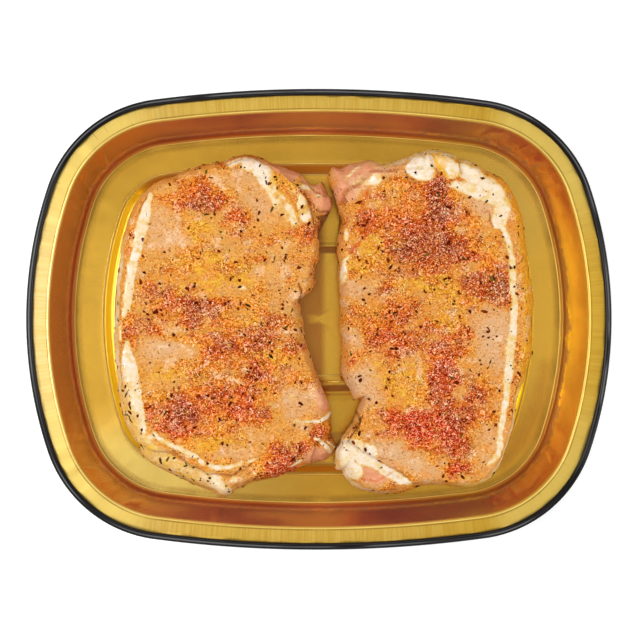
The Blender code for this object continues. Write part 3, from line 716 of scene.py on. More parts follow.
    rough = s.plus(s.spread(small, 0.3, 0.7, 0.34, 0.46), s.times(brink, 0.35))
    wet = s.most(s.times(s.most(glint, pale), 0.8), s.times(fat, 0.5))
    wet = s.times(s.spread(wet, 0.0, 0.8, 0.08, 0.80), s.spread(brink, 0.0, 1.0, 1.0, 0.0))
    lumpy = s.times(s.times(curl, rough_zone), s.spread(fat, 0.2, 0.8, 1.0, 0.15))
    normal = s.bump(mid, 0.45, 0.0014, s.bump(lumpy, 0.6, 0.0010))
    return s.set(colour=tone, roughness=rough, coat=wet, coat_roughness=0.12, normal=normal, specular=0.05,
                 edge_tint=(0.85, 0.42, 0.14), subsurface=0.12, subsurface_radius=(1.0, 0.38, 0.18),
                 subsurface_scale=0.0010)


def grain_material(name, stops, roughness, coat, specular):
    s = Shader(name)
    pick, = s.values("pick")
    fine = s.noise(2600.0, 2.0, 0.6)
    tone = s.layers(s.ramp(pick, stops), (stops[-1][1], fine, 0.35, 0.35, 0.7))
    return s.set(colour=tone, roughness=roughness, coat=coat, coat_roughness=0.12,
                 normal=s.bump(fine, 0.4, 0.00015), specular=specular)


gold = gold_material()
black = black_material()


# ---------------------------------------------------------------- tray
def wall_wrinkles(cells, rise, seed):
    """Upright creases pressed into the wall; cells is the way round in mm and rise is 0 at the foot."""
    fine = field(cells + rise * 3.0, rise * 3.0, 2.4, seed)
    broad = field(cells, rise * 1.5, 7.5, seed + 1)
    sharp = np.maximum(1.0 - np.abs(field(cells + rise * 4.0, rise * 2.5, 4.6, seed + 2)) * 3.0, 0.0)
    low = 0.15 + 0.85 * np.sin(np.clip(rise * 1.15, 0.0, 1.0) * math.pi) ** 0.8
    ripple = np.maximum(1.0 - np.abs(field(cells - rise * 9.0, rise * 5.0, 2.7, seed + 3)) * 3.2, 0.0)
    ripple = ripple * (1.0 - ease(0.35, 0.75, rise))
    fold = np.maximum(sharp * low, 0.75 * ripple)
    return (0.12 * fine + 0.14 * broad + 0.34 * sharp + 0.12 * ripple) * low * MM, fold


def tray_levels():
    """The inner skin level by level, from under the bead to the middle, and the levels beside its lines that
    get painted shade.
    """
    levels = SimpleNamespace(rings=[], heights=[], insets=[], kinds=[], crests=[])
    line_shades = {}
    bead_radius = BEAD_DIAMETER / 2.0
    flange_top = TRAY_HEIGHT - BEAD_DIAMETER + SHEET
    wall_high = flange_top - WALL_TOP_DROP
    panel = SHEET + PANEL_RISE

    def add(ring, height, kind, crest=0.0, inset=0.0):
        for name, value in zip(vars(levels), (ring, height, inset, kind, crest)):
            getattr(levels, name).append(value)

    def add_inset(inset, height, kind, crest=0.0):
        add(tray_outline(inset), height, kind, crest, inset)

    def add_line(start, width, height, tall, kind="line", rows=5):
        """A raised line from start inward."""
        for share in np.arange(1, rows + 1) / rows:
            crest = math.sin(math.pi * share) ** 2
            add_inset(start + width * share, height + tall * crest, kind, crest)

    def add_run(kind, steps, end, end_height, way=lambda t: t, down=lambda t: t):
        """Levels from the last one to an inset and height, each with its own pace."""
        start, height = levels.insets[-1], levels.heights[-1]
        for t in np.arange(1, steps + 1) / steps:
            add_inset(start + (end - start) * way(t), height + (end_height - height) * down(t), kind)

    def quick(t):
        return math.sin(t * math.pi / 2.0)

    def late(t):
        return 1.0 - math.cos(t * math.pi / 2.0)

    sweep = math.pi * 1.5 + math.asin((bead_radius - SHEET) / bead_radius)
    for step in range(BEAD_STEPS + 1):
        turn = -math.pi / 2.0 - step * sweep / BEAD_STEPS
        add_inset(bead_radius + bead_radius * math.cos(turn),
                  TRAY_HEIGHT - bead_radius + bead_radius * math.sin(turn), "bead")
    bead_end = levels.insets[-1]
    ridge_start = RIDGE_INSET - RIDGE_WIDTH / 2.0
    # The flange's last levels before the ridge get painted shade
    for share in (0.02, 0.25, 0.5, 0.75, 0.90, 0.94, 0.98):
        line_shades[len(levels.kinds)] = float(share > 0.93)
        add_inset(bead_end + (ridge_start - bead_end) * share, flange_top, "flange")
    add_line(ridge_start, RIDGE_WIDTH, flange_top, RIDGE_HEIGHT, "ridge", 6)
    add_run("lip", 4, WALL_TOP_INSET, wall_high, quick, late)
    add_run("wall", WALL_STEPS, WALL_FOOT_INSET, WALL_FOOT_RISE)
    add_run("foot", 5, FLOOR_INSET, SHEET, late, quick)
    add_line(FLOOR_INSET + FOOT_LINE_WIDTH / 2.0, FOOT_LINE_WIDTH, SHEET, FOOT_LINE_HEIGHT)
    add_run("floor", 7, PANEL_INSET - PANEL_LINE_WIDTH, SHEET)
    add_line(PANEL_INSET - PANEL_LINE_WIDTH, PANEL_LINE_WIDTH, SHEET, PANEL_LINE_HEIGHT)
    add_run("slope", 7, PANEL_INSET + PANEL_SLOPE, panel, down=lambda t: ease(0.0, 1.0, t))
    add_line(PANEL_INSET + PANEL_SLOPE, PANEL_LINE_WIDTH, panel, PANEL_LINE_HEIGHT)
    # The levels just after each raised line get painted shade
    for index, (kind, after) in enumerate(zip(levels.kinds, levels.kinds[1:])):
        if kind == "line" and after != "line":
            line_shades[index] = 1.0
            line_shades[index + 1] = 0.6 if after == "floor" else 0.0

    # From the panel's edge to the plateau, over it, and to the middle
    outer, inner = levels.rings[-1], plateau_outline(PLATEAU_SLOPE)
    for share in (0.1, 0.2, 0.28, 0.31, 0.33, 0.35, 0.37, 0.39, 0.41, 0.44, 0.55, 0.7, 0.85, 0.93, 0.95, 0.97,
                  0.985, 1.0):
        dip = ease(RIB_SHARE - RIB_HALF, RIB_SHARE + RIB_HALF, share) * (1.0 - ease(0.93, 1.0, share))
        kind = "rib" if abs(share - RIB_SHARE) < RIB_HALF + 0.01 else "floor"
        add(outer * (1 - share) + inner * share, panel - RIB_DIP * dip, kind)
    for share in np.arange(1, 7) / 6:
        rise = PLATEAU_RISE * ease(0.0, 1.0, share)
        add(plateau_outline(PLATEAU_SLOPE * (1 - share)), panel + rise, "plateau")
    edge = plateau_outline(0.0)
    for share in (0.02, 0.04, 0.055, 0.07, 0.09, 0.11, 0.13, 0.15, 0.165, 0.18, 0.20, 0.27, 0.34, 0.42, 0.5,
                  0.58, 0.66, 0.74, 0.82, 0.91):
        add(edge * (1.0 - share), PLATEAU_TOP, "floor")
    levels.rise = (np.array(levels.heights) - WALL_FOOT_RISE) / (wall_high - WALL_FOOT_RISE)
    return levels, line_shades


def tray_masks(levels, line_shades, points, inward, cells, corner, crinkle, bar):
    """Where the foil's parts and its painted highlight lines, shades and glows lie, as values for every point
    of the inner skin.
    """
    shape = points.shape[:2]
    across, along = points[:, :, 0] / MM, points[:, :, 1] / MM
    number = np.arange(shape[0])[:, None]
    facing = np.abs(inward[:, :, 0])

    def rows_of(*kinds):
        return np.isin(levels.kinds, kinds)[:, None] * np.ones(shape)

    def column(values):
        out = np.zeros((shape[0], 1))
        for index, value in values.items():
            out[index] = value
        return out

    def round_rim(cell, seed):
        return field(cells, cells * 0.0, cell, seed)

    slope_start = levels.kinds.index("slope")
    # Painted highlights on the crests of the raised lines and along the bar's edges, mostly left off on the
    # right
    pale = np.clip(1.10 * np.array(levels.crests)[:, None], 0.0, 1.0) * (0.80 + 0.20 * round_rim(9.0, 61))
    pale *= 1.0 - 0.9 * ease(20.0, 60.0, across) * (number > slope_start - 8)
    bar_edge = np.exp(-((np.abs(along - (BAR_FRONT + BAR_BACK) / 2.0) - 1.45) / 0.35) ** 2) * bar

    # Painted shade along the wall's foot, with a ragged top edge
    ragged = 0.17 + 0.08 * round_rim(3.2, 62) + 0.10 * round_rim(1.9, 63)
    ragged *= 0.65 + 0.35 * ease(0.0, 60.0, across)
    foot = rows_of("wall", "foot") * (1.0 - ease(ragged - 0.03, ragged + 0.03, levels.rise[:, None]))

    # Shades: the panel's slope, the plateau's ends, the gap between the chops and a streak on the right
    inside = rows_of("floor", "rib", "plateau", "slope", "line")
    dim = rows_of("slope") * (1.0 - ease(0.45, 0.85, facing)) * (0.3 + 0.5 * ease(-10, 20, along))
    for kind, share in (("plateau", 0.85), ("rib", 0.45)):
        dim = np.maximum(dim, rows_of(kind) * share * ease(0.5, 0.8, 1.0 - facing))
    gap = ease(-50.0, -40.0, across) * (1.0 - ease(0.5, 4.0, across))
    gap *= ease(-56.0, -50.0, along) * (1.0 - ease(50.0, 60.0, along))
    dim = np.maximum(dim, gap * inside * (0.68 + 0.05 * field(across + AWAY, along + AWAY, 9.0, 64)))
    streak = strip_edge(across, along, ((96, -20, 1.5), (93, -36, 3.0), (86, -51, 3.0), (78, -61, 1.5)))
    dim = np.maximum(dim, inside * 0.40 * (1.0 - ease(-3.0, 4.0, streak)))

    # Painted glows on the floor's outer ring, and painted glints on the bead
    ledge = rows_of("floor", "line") * (number < slope_start)
    glow = ease(10.0, -80.0, across) * ease(-30.0, -60.0, along)
    glow = ledge * (glow + 0.35 * ease(50.0, 85.0, across) * ease(20.0, 50.0, along))
    glint = column({EDGE_GLINT_LEVEL: 1.0}) * ease(0.15, 0.7, corner) * ease(-0.5, 0.5, round_rim(12.0, 65))
    glint += column({TOP_GLINT_LEVEL: 0.16}) * ease(-0.9, 0.3, round_rim(12.0, 67))
    # Also painted light: the band is a painted reflection on the panel's slope, and the across and right-side
    # masks paint the flange and wall lighter or darker by side
    return {
        "lip": rows_of("lip"), "wall": rows_of("wall", "foot", "lip"), "rim": rows_of("flange", "ridge"),
        "pale": np.maximum(pale, 0.8 * bar_edge), "foot": foot, "dim": dim,
        "band": rows_of("slope") * ease(0.45, 0.85, facing),
        "line_shade": column(line_shades) * (0.75 + 0.25 * round_rim(7.0, 66)), "crinkle": crinkle, "corner": corner,
        "across": ease(-118.0, -40.0, across), "right_side": ease(20.0, 80.0, across), "glow": glow,
        "shy": ledge * ease(-60.0, -95.0, across) * (1.0 - glow), "glint": glint,
    }


def make_tray():
    levels, line_shades = tray_levels()
    rings = np.array(levels.rings)
    rows, count = rings.shape[:2]
    points = np.dstack([rings, np.repeat(np.array(levels.heights)[:, None], count, 1)])

    # The way round in metres, and the direction inward at each point
    loop = tray_outline(FLOOR_INSET)
    run = np.concatenate([[0.0], np.cumsum(np.hypot(*np.diff(loop, axis=0).T))])
    total_run = run[-1] + math.hypot(*(loop[0] - loop[-1]))
    blend_seam = ease(0.0, 0.05, np.minimum(run, total_run - run) / total_run * 4.0)
    wrap = run[None, :] * np.ones((rows, 1))
    cells = wrap / MM
    ahead = np.roll(rings, -1, 1) - np.roll(rings, 1, 1)
    ahead /= np.linalg.norm(ahead, axis=2, keepdims=True) + 1e-12
    inward = np.stack([-ahead[:, :, 1], ahead[:, :, 0]], 2)
    corner = ease(0.25, 0.75, np.abs(ahead[:, :, 0] * ahead[:, :, 1]) * 2.0)

    crinkle = np.zeros((rows, count))
    for level, kind in enumerate(levels.kinds):
        if kind in ("wall", "foot", "lip"):
            push, fold = wall_wrinkles(cells[level], levels.rise[level] * np.ones(count), 11)
            push *= 0.35 + 1.4 * corner[level]
            # Where painted highlights go on the wall's crinkles, mostly at the corners
            crinkle[level] = fold * (0.15 + 0.85 * corner[level])
            if kind != "wall":
                push *= 0.4
            points[level, :, :2] += inward[level] * (push * blend_seam)[:, None]
        elif kind == "flange":
            ripple = field(cells[level], np.full(count, levels.insets[level] / MM) * 0.12, 3.1, 21)
            crimp = np.maximum(field(cells[level], np.zeros(count), 6.3, 22) - 0.55, 0.0) * 2.2
            points[level, :, 2] += (0.045 * ripple + 0.10 * crimp) * MM * blend_seam
        elif kind not in ("bead", "ridge"):
            x, y = points[level, :, 0] / MM, points[level, :, 1] / MM
            points[level, :, 2] += (0.05 * field(x, y, 17.0, 31) + 0.02 * field(x, y, 5.0, 32)) * MM

    # A short raised bar pressed into the plateau near its front edge
    x, y = points[:, :, 0] / MM, points[:, :, 1] / MM
    bar = ease(BAR_FRONT, BAR_FRONT + 0.4, y) * (1.0 - ease(BAR_BACK - 0.4, BAR_BACK, y))
    bar *= ease(BAR_LEFT, BAR_LEFT + 1.0, x) * (1.0 - ease(BAR_RIGHT - 0.8, BAR_RIGHT, x))
    bar *= np.array(levels.heights)[:, None] > PLATEAU_TOP - 1e-6
    points[:, :, 2] += bar * BAR_HEIGHT

    # The same sheet seen from outside: below and outside the inner skin by its thickness, in fewer levels
    kinds = levels.kinds
    below = [i for i, kind in enumerate(kinds) if kind != "bead"]
    below = [i for n, i in enumerate(below) if n in (0, len(below) - 1) or kinds[i] != kinds[i - 1]
             or n % OUTSIDE_EVERY[kinds[i]] == 0]
    outside = points[below].copy()
    slope = np.gradient(points, axis=0)[below]
    radial = (slope[:, :, :2] * inward[below]).sum(2)
    fall = slope[:, :, 2]
    length = np.hypot(radial, fall) + 1e-12
    outside[:, :, :2] += inward[below] * (fall / length * SHEET)[:, :, None]
    outside[:, :, 2] -= radial / length * SHEET
    outside[0] = points[0]
    outside[0, :, :2] += inward[0] * SEAM_GAP
    outside[:, :, 2] = np.maximum(outside[:, :, 2], 0.0)

    centre = rows * count
    base = centre + 1
    out_centre = base + len(below) * count
    ring = np.arange(count)
    after = (ring + 1) % count
    quads = skin_quads(0, rows, count)
    joint = np.stack([ring, base + ring, base + after, after], 1)
    out_quads = np.concatenate([skin_quads(base, len(below), count, outward=True), joint])
    caps = np.stack([centre - count + ring, centre - count + after, np.full(count, centre)], 1)
    out_caps = np.stack([
        out_centre - count + after, out_centre - count + ring, np.full(count, out_centre)], 1)
    middle = np.array([[0.0, 0.0, PLATEAU_TOP]])
    verts = np.concatenate([points.reshape(-1, 3), middle, outside.reshape(-1, 3), middle - (0, 0, SHEET)])
    face_material = np.concatenate([
        np.repeat([int(kind == "bead") for kind in kinds[1:]], count),
        np.ones(len(out_quads), int), np.zeros(count, int), np.ones(count, int)])
    made = mesh_object("foil_tray", verts, [quads, out_quads, caps, out_caps], (gold, black), face_material)
    masks = tray_masks(levels, line_shades, points, inward, cells, corner, crinkle, bar)
    point_values(made, **{name: np.append(values.ravel(), np.zeros(len(verts) - values.size))
                          for name, values in masks.items()})

    # Way round and way in, for the streaks left by pressing
    depth = np.concatenate([[0.0], np.cumsum(np.linalg.norm(np.diff(points[:, 0], axis=0), axis=1))])
    run_in = np.dstack([wrap, depth[:, None] * np.ones((1, count))])
    middle_run = [[0.0, depth[-1]]]
    uv = np.concatenate([run_in.reshape(-1, 2), middle_run, run_in[below].reshape(-1, 2), middle_run])
    loop_points = np.zeros(len(made.data.loops), np.int32)
    made.data.loops.foreach_get("vertex_index", loop_points)
    made.data.uv_layers.new(name="run").data.foreach_set("uv", uv[loop_points].astype(np.float32).ravel())
    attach(made, BODY)
    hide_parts("tray")


# ---------------------------------------------------------------- chops
def plain_reach(chop, bearing):
    """Distance in mm from the chop's middle to its edge before it is roughened."""
    return smooth_between(chop.reaches, bearing) + windows_sum(bearing, chop.lobes)


def edge_reach(chop, bearing):
    turn = np.radians(bearing)
    ragged = field(np.cos(turn) * 60 + 90, np.sin(turn) * 60 + 90, 3.4, chop.seed)
    return (plain_reach(chop, bearing) + EDGE_RAGGED * ragged) * MM


def shoulder_of(chop, bearing):
    return SHOULDER + windows_sum(bearing, chop.shoulders) * MM


def even_bearings(chop, count):
    """Bearings that split the chop's edge into nearly equal lengths."""
    fine = np.linspace(0.0, 360.0, FINE_BEARINGS)
    reach = plain_reach(chop, fine)
    turn = np.radians(fine)
    steps = np.hypot(np.diff(reach * np.cos(turn)), np.diff(reach * np.sin(turn)))
    length = np.concatenate([[0.0], np.cumsum(steps)])
    blended = 0.7 * length / length[-1] + 0.3 * fine / 360.0
    return np.interp(np.arange(count) / count, blended, fine)


def top_lift(chop, x, y):
    """Height of the chop's swells over each point."""
    lift = np.zeros_like(x)
    for bearing, share, spread, height in chop.swells:
        turn = math.radians(bearing)
        reach = float(smooth_between(chop.reaches, np.array([float(bearing)]))[0]) * MM * share
        far = np.hypot(x - reach * math.cos(turn), y - reach * math.sin(turn)) / (spread * MM)
        lift += height * MM * np.exp(-far * far)
    return lift


def chop_body(chop):
    """Points, faces, inset from the edge, level and bearing of every point of the plain chop."""
    rest = PLATEAU_TOP + CLEARANCE
    n = TOP_RINGS
    rim = 8 * n
    # The top is a square grid pulled out to the edge; t counts round each of its square rings
    span = np.arange(-n, n + 1)
    i, j = np.meshgrid(span, span, indexing="ij")
    k = np.maximum(np.abs(i), np.abs(j))
    t = np.where(i == k, np.where(j >= 0, j, 8 * k + j), 0)
    t = np.where((j == k) & (i != k), 2 * k - i, t)
    t = np.where((i == -k) & (j != k), 4 * k - j, t)
    t = np.where((j == -k) & (i != -k) & (i != k), 6 * k + i, t)
    t = np.where((j == -k) & (i == k), 7 * k, t)
    table = even_bearings(chop, rim)
    place = np.where(k > 0, t / np.maximum(8 * k, 1), 0.0) * rim
    bearing = np.interp(place.ravel(), np.arange(rim + 1), np.append(table, 360.0)).reshape(place.shape)
    reach = edge_reach(chop, bearing)
    distance = (reach - shoulder_of(chop, bearing)) * (k / n)
    turn = np.radians(bearing)
    x, y = distance * np.cos(turn), distance * np.sin(turn)
    points = [np.stack([x, y, rest + chop.thickness + top_lift(chop, x, y)], 2).reshape(-1, 3)]
    size = 2 * n + 1
    index = np.arange(size * size).reshape(size, size)
    quads = [np.stack([index[:-1, :-1], index[1:, :-1], index[1:, 1:], index[:-1, 1:]], 2).reshape(-1, 4)]

    # The sides hang from the grid's rim: a rounded shoulder down to the waist, then in to the foot
    outer_t = t[k == n]
    previous = index[k == n][np.argsort(outer_t)]
    ring_reach = edge_reach(chop, table)
    ring_shoulder = shoulder_of(chop, table)
    direction = np.stack([np.cos(np.radians(table)), np.sin(np.radians(table))], 1)
    sides = []
    for step in range(1, SIDE_RINGS + 1):
        phi = math.pi / 2.0 * (1.0 - step / SIDE_RINGS)
        sides.append(((ring_reach - ring_shoulder) + ring_shoulder * math.cos(phi),
                      WAIST_LEVEL + (1.0 - WAIST_LEVEL) * math.sin(phi)))
    for step in range(1, FOOT_RINGS + 1):
        psi = math.pi / 2.0 * step / FOOT_RINGS
        sides.append((ring_reach - FOOT_INSET * (1.0 - math.cos(psi)), WAIST_LEVEL * (1.0 - math.sin(psi))))
    offset = size * size
    for out, level in sides:
        xy = direction * out[:, None]
        lift = top_lift(chop, xy[:, 0], xy[:, 1]) * level
        sag = rest - (floor_height(xy[:, 0] + chop.middle[0], xy[:, 1] + chop.middle[1]) + FLOOR_GAP)
        height = rest + chop.thickness * level + lift - sag * max(0.0, 1.0 - level / WAIST_LEVEL)
        points.append(np.column_stack([xy, height]))
        here = offset + np.arange(rim)
        quads.append(np.stack([previous, here, np.roll(here, -1), np.roll(previous, -1)], 1))
        previous = here
        offset += rim
    points.append(np.array([[0.0, 0.0, rest]]))
    caps = np.stack([previous, np.full(rim, offset), np.roll(previous, -1)], 1)
    inset = np.concatenate([(reach - distance).ravel(), *(ring_reach - out for out, _ in sides), [0.02]])
    level = np.concatenate([np.ones(size * size), np.repeat([level for _, level in sides], rim), [0.0]])
    bearing = np.concatenate([bearing.ravel(), np.tile(table, len(sides)), [0.0]])
    return np.concatenate(points), [np.concatenate(quads), caps], inset, level, bearing


def make_chop(chop, material):
    verts, faces, inset, level, bearing = chop_body(chop)
    x = verts[:, 0] / MM - chop.shift
    y = verts[:, 1] / MM

    def rough(cell, step, size=128, across=1.0, along=1.0):
        """The chop's own random field number step, squeezed by across and along."""
        return field((x + AWAY) * across, (y + AWAY) * along, cell, chop.seed + step, size)

    def near_edge(windows, low, high):
        """A strip along the edge within windows of the bearing, fading from low to high mm inward."""
        return windows_sum(bearing, windows) * (1.0 - ease(low * MM, high * MM, inset))

    # Patches of seasoning, with ragged borders
    wx = x + 2.2 * rough(6.5, 3) + 1.1 * rough(2.4, 4)
    wy = y + 2.0 * rough(6.5, 5) + 1.1 * rough(2.4, 6)
    spice, deep, red, oil, pink, rose = (spots_cover(wx, wy, spots) for spots in (
        chop.spice, chop.deep, chop.red, chop.oil, chop.pink, chop.rose))
    spice = spice * 0.58 + (0.17 * rough(3.6, 7, across=0.65) + 0.10 * rough(9.0, 2))
    oil = np.clip(oil + 0.12 + 0.25 * rough(8.0, 8), 0.0, 1.0)
    spice = np.clip(spice + chop.base_spice * (1.0 - pink), 0.0, 1.0) * (1.0 - 0.6 * pink)
    oil *= 1.0 - 0.8 * pink
    streaky = 0.34 * rough(3.6, 31, across=0.6) + 0.30 * rough(8.0, 32)
    grit = ease(-0.05, 0.65, spice + streaky) * (1.0 - 0.6 * pink)
    milk = field((wx + AWAY) * 0.8, wy + AWAY, 3.6, chop.seed + 33)
    milk = 0.8 * ease(0.55, 0.90, milk) * (1.0 - 0.7 * spice)

    # Fat, with softer borders
    sx = x + 0.45 * rough(5.5, 9) + 0.30 * rough(1.3, 19, along=0.6)
    sy = y + 0.45 * rough(5.5, 10) + 0.30 * rough(1.3, 20, along=0.6)
    lobes = spots_cover(sx, sy, chop.fat_spots)
    bands, rise = (strips_cover(sx, sy, chop.fat, soft) for soft in (0.8, 1.6))
    fat = np.maximum(bands, ease(0.25, 0.75, lobes) * np.clip(lobes * 1.25, 0.0, 1.0))
    fat *= 0.90 + 0.16 * rough(4.5, 21) + 0.16 * rough(1.8, 22)
    fat = np.clip(fat * (1.0 - spots_cover(x, y, chop.broken) * ease(-0.2, 0.6, rough(2.2, 23))), 0.0, 1.0)
    fat = np.maximum(fat, near_edge(chop.side_fat, 2.2, 3.4) * 0.75)
    hem = near_edge(chop.hem, 6.8, 8.6) * (0.86 + 0.24 * rough(2.6, 24))
    fat = np.clip(np.maximum(fat, hem), 0.0, 1.0)
    clean = near_edge(chop.clean, 2.4, 5.2)
    oil = np.maximum(oil, near_edge(chop.side_oil, 3.6, 7.0))

    # Lines and overlapping layers
    membrane, stream, crease, seam = (strips_cover(sx, sy, strips, soft) for strips, soft in (
        (chop.membrane, 0.3), (chop.stream, 0.4), (chop.crease, 0.35), (chop.seam, 0.5)))
    fat = np.maximum(fat, membrane)
    drop, fold_shade = fold_steps(sx, sy, chop.folds)
    rose = ease(0.15, 0.75, rose) * (1.0 - fat)
    spice = np.maximum(spice * (1.0 - 0.7 * rose), 0.8 * seam)
    red = np.maximum(red, 0.5 * seam)
    spice *= 1.0 - 0.9 * fat
    deep *= 1.0 - fat
    grit *= (1.0 - 0.95 * rose) * (1.0 - 0.8 * clean)
    spice *= 1.0 - 0.6 * clean
    ivory = np.clip(0.55 + 0.55 * rough(6.0, 34) + 0.30 * lobes, 0.0, 1.0)

    # Relief in mm, pushed out along the normals
    lumps = 0.38 * rough(9.0, 12) + 0.24 * rough(3.8, 13, across=0.7)
    crust = 0.16 * rough(1.9, 14, 256, across=0.8) + grit * (0.10 + 0.22 * rough(1.15, 15, 512))
    relief = lumps + crust * (1.0 - 0.85 * fat) + 0.55 * rise + 0.9 * lobes
    relief -= drop + crease + 0.40 * seam + 0.5 * stream - 0.4 * membrane
    relief *= ease(0.0, 0.35, level)
    verts[:, :2] += chop.middle
    made = mesh_object(chop.node + "_meat", verts, faces, (material,))
    verts += vertex_normals(made) * (relief * MM)[:, None]
    made.data.vertices.foreach_set("co", verts.astype(np.float32).ravel())
    made.data.update()
    # Painted shade: the shade along the folds' lines joins the crease lines' dark colour
    crease = np.maximum(crease, 0.85 * fold_shade * ease(0.2, 0.5, level))
    point_values(made, spice=spice, deep=deep, red=red, oil=oil, pink=pink, fat=fat, crease=crease, grit=grit,
                 milk=milk, rose=rose, ivory=ivory, stream=stream, seam=seam, hem=hem,
                 side=1.0 - ease(0.25, 0.72, level), brink=1.0 - ease(0.80, 0.99, level))
    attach(made, BODY)
    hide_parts(chop.node)
    chop.verts = verts
    chop.normals = vertex_normals(made)
    chop.masks = SimpleNamespace(clump=ease(0.3, 1.0, rough(4.2, 41)), spice=spice, fat=fat, pink=pink,
                                 hem=hem, level=level)


make_tray()
make_chop(LEFT, meat_material(
    "seasoned_meat_left", (0.69, 0.32, 0.070), (0.71, 0.29, 0.040), (0.68, 0.405, 0.215), (0.62, 0.36, 0.13)))
make_chop(RIGHT, meat_material(
    "seasoned_meat_right", (0.68, 0.30, 0.070), (0.70, 0.27, 0.040), (0.66, 0.41, 0.23), (0.64, 0.32, 0.045)))


# ---------------------------------------------------------------- scattered seasoning
SINK = 0.25  # nought lays a grain on the surface, a half sinks it to its middle


def octahedron():
    points = np.array([(1, 0, 0), (-1, 0, 0), (0, 1, 0), (0, -1, 0), (0, 0, 1), (0, 0, -1)], float)
    faces = np.array([(0, 2, 4), (2, 1, 4), (1, 3, 4), (3, 0, 4), (2, 0, 5), (1, 2, 5), (3, 1, 5), (0, 3, 5)])
    return points, faces


def chip():
    """A rounder grain of thirty-two faces, roughened when it is scattered."""
    points, faces = octahedron()
    points = list(points)
    middles = {}
    parts = []
    for a, b, c in faces:
        names = []
        for pair in ((a, b), (b, c), (c, a)):
            pair = tuple(sorted(pair))
            if pair not in middles:
                middle = points[pair[0]] + points[pair[1]]
                middles[pair] = len(points)
                points.append(middle / np.linalg.norm(middle))
            names.append(middles[pair])
        ab, bc, ca = names
        parts += [(a, ab, ca), (ab, b, bc), (ca, bc, c), (ab, bc, ca)]
    return np.array(points), np.array(parts)


def scatter(name, material, weight, counts, sizes, squash, seed, stretch=1.0, body=octahedron, rough=0.3,
            power=2.0):
    """Grains pressed into the chops where weight(masks) says, joined into one piece."""
    rng = np.random.default_rng(seed)
    shape, shape_faces = body()
    all_points, all_faces, picks = [], [], []
    base = 0
    for chop, share in zip((LEFT, RIGHT), counts):
        chance = weight(chop.masks) * ease(0.25, 0.5, chop.masks.level)
        chance = chance / chance.sum()
        chosen = rng.choice(len(chance), share, p=chance, replace=False)
        at = chop.verts[chosen]
        normal = chop.normals[chosen]
        size = (sizes[0] + (sizes[1] - sizes[0]) * rng.uniform(0.0, 1.0, share) ** power) * MM / 2.0
        rng.uniform(0.0, 1.0, share)  # a turn that no grain needs, drawn to keep the later draws as they are
        side = np.cross(normal, rng.normal(size=(share, 3)))
        side /= np.linalg.norm(side, axis=1, keepdims=True)
        other = np.cross(normal, side)
        local = shape[None] * rng.uniform(1.0 - rough, 1.0 + rough, (share, len(shape), 1))
        local = local * size[:, None, None]
        if stretch > 1.0:
            local[:, :, 0] *= rng.uniform(1.0, stretch, share)[:, None]
        local[:, :, 2] *= squash
        world = sum(local[:, :, i:i + 1] * way[:, None] for i, way in enumerate((side, other, normal)))
        world += (at + normal * (size * squash * (1.0 - 2.0 * SINK))[:, None])[:, None]
        all_points.append(world.reshape(-1, 3))
        starts = (np.arange(share) * len(shape))[:, None, None] + base
        all_faces.append((shape_faces[None] + starts).reshape(-1, 3))
        base += share * len(shape)
        picks.append(np.repeat(rng.uniform(0, 1, share), len(shape)))
    made = mesh_object(name, np.concatenate(all_points), [np.concatenate(all_faces)], (material,),
                       smooth=False)
    point_values(made, pick=np.concatenate(picks))
    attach(made, BODY)


paprika = grain_material("paprika_grain", (
    (0.0, (0.30, 0.035, 0.005)), (0.35, (0.50, 0.080, 0.008)), (0.7, (0.70, 0.17, 0.014)),
    (1.0, (0.80, 0.30, 0.040)),
), 0.5, 0.0, 0.05)
pale = grain_material("pale_grain", (
    (0.0, (0.84, 0.40, 0.080)), (0.5, (0.92, 0.56, 0.18)), (1.0, (0.96, 0.74, 0.42)),
), 0.35, 0.15, 0.2)
pepper = grain_material("black_pepper", (
    (0.0, (0.030, 0.003, 0.001)), (0.5, (0.090, 0.009, 0.001)), (1.0, (0.19, 0.026, 0.003)),
), 0.8, 0.0, 0.0)
herb = grain_material("dried_herb", (
    (0.0, (0.020, 0.009, 0.002)), (0.5, (0.060, 0.032, 0.005)), (1.0, (0.15, 0.09, 0.014)),
), 0.7, 0.0, 0.0)

scatter("paprika_grains", paprika, lambda m: m.spice ** 2.5 * (1 - m.fat) + 0.004,
        (2600, 2900), (0.35, 0.80), 0.6, 501)
scatter("pale_grains", pale, lambda m: (0.10 + 0.8 * m.spice) * (1 - 0.9 * m.fat) * (1 - 0.7 * m.pink),
        (1300, 1400), (0.30, 0.75), 0.6, 502)
scatter("pepper_flecks", pepper, lambda m: 0.25 + 0.8 * m.spice + 0.9 * m.clump * 0.4,
        (700, 700), (0.24, 1.22), 0.5, 503, stretch=2.1, body=chip, rough=0.5, power=3.2)
scatter("herb_flakes", herb, lambda m: 0.5 + m.fat + m.clump + 13.0 * m.hem,
        (150, 80), (0.4, 1.1), 0.35, 504, stretch=3.2, body=chip, rough=0.35)


# ---------------------------------------------------------------- floor, lights and camera
STAGE_HALF = 2.5
STAGE_DROP = 0.05 * MM
LIT_POINT = Vector((0.0, 0.0, 0.03))
WARM = (1.0, 0.70, 0.38)


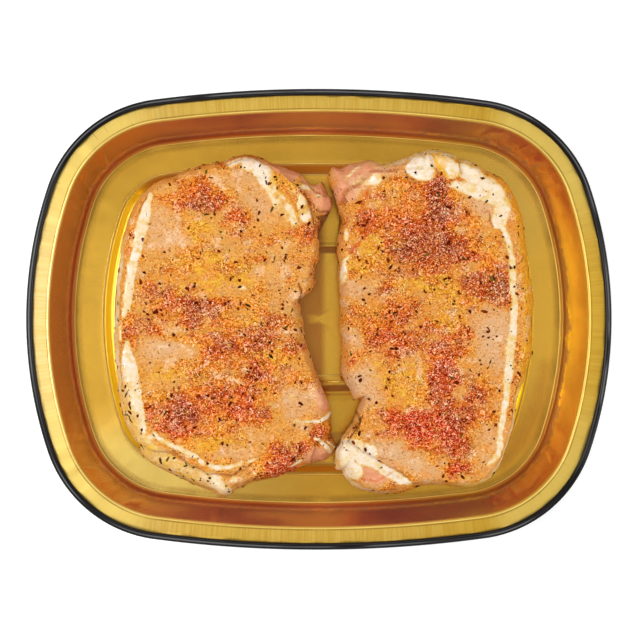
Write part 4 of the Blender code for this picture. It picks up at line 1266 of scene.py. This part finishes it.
def pale_floor():
    s = Shader("studio_white")
    tone = s.mix(s.spread(s.noise(35.0), 0.3, 0.7), (0.90, 0.90, 0.90), (0.92, 0.92, 0.92))
    s.set(colour=tone, roughness=0.75, specular=0.2, glow=(1.0, 1.0, 1.0), glow_strength=0.36)
    corners = ((-1, -1), (1, -1), (1, 1), (-1, 1))
    verts = [(x * STAGE_HALF, y * STAGE_HALF, -STAGE_DROP) for x, y in corners]
    made = mesh_object("studio_floor", verts, [np.array([[0, 1, 2, 3]])], (s.material,))


def soft_light(name, place, size, power, colour=(1.0, 1.0, 1.0)):
    lamp = bpy.data.lights.new(name, "AREA")
    lamp.shape = "RECTANGLE"
    lamp.size, lamp.size_y = size
    lamp.energy = power
    lamp.color = colour
    made = bpy.data.objects.new(name, lamp)
    made.location = place
    made.rotation_euler = (LIT_POINT - Vector(place)).to_track_quat("-Z", "Y").to_euler()
    bpy.context.scene.collection.objects.link(made)


pale_floor()
soft_light("key_left", (-0.80, 0.12, 0.85), (0.55, 0.55), 8.5)
soft_light("fill_right", (0.90, -0.10, 0.75), (0.6, 0.6), 5.5)
soft_light("fill_back", (0.1, 0.95, 0.75), (0.8, 0.4), 3.0)
soft_light("fill_front", (0.0, -0.95, 0.75), (0.8, 0.4), 2.5)
soft_light("panel_left", (-0.45, -0.04, 1.00), (0.30, 0.70), 0.80)
soft_light("panel_right", (0.24, 0.00, 1.00), (0.20, 0.60), 0.16)
soft_light("panel_back", (0.0, 0.30, 1.00), (0.60, 0.15), 0.14)
soft_light("panel_front", (0.0, -0.30, 1.00), (0.60, 0.15), 0.10, WARM)

world = bpy.data.worlds.new("studio")
world.use_nodes = True
background = world.node_tree.nodes["Background"]
background.inputs["Color"].default_value = (1.0, 1.0, 1.0, 1.0)
background.inputs["Strength"].default_value = 0.32
bpy.context.scene.world = world
bpy.context.scene.view_settings.view_transform = "Standard"

# The camera looks straight down from a little left of the middle
camera_data = bpy.data.cameras.new("camera")
camera_data.lens = 93.6
camera_data.sensor_width = 36.0
camera = bpy.data.objects.new("camera", camera_data)
AIM = Vector((-0.32 * MM, 0.18 * MM, 34.0 * MM))
camera.location = (-13.0 * MM, 4.0 * MM, 0.700)
look = (AIM - camera.location).normalized()
side = look.cross(Vector((0.0, 1.0, 0.0))).normalized()
camera.rotation_euler = Matrix((side, side.cross(look), -look)).transposed().to_euler()
bpy.context.scene.collection.objects.link(camera)
bpy.context.scene.camera = camera
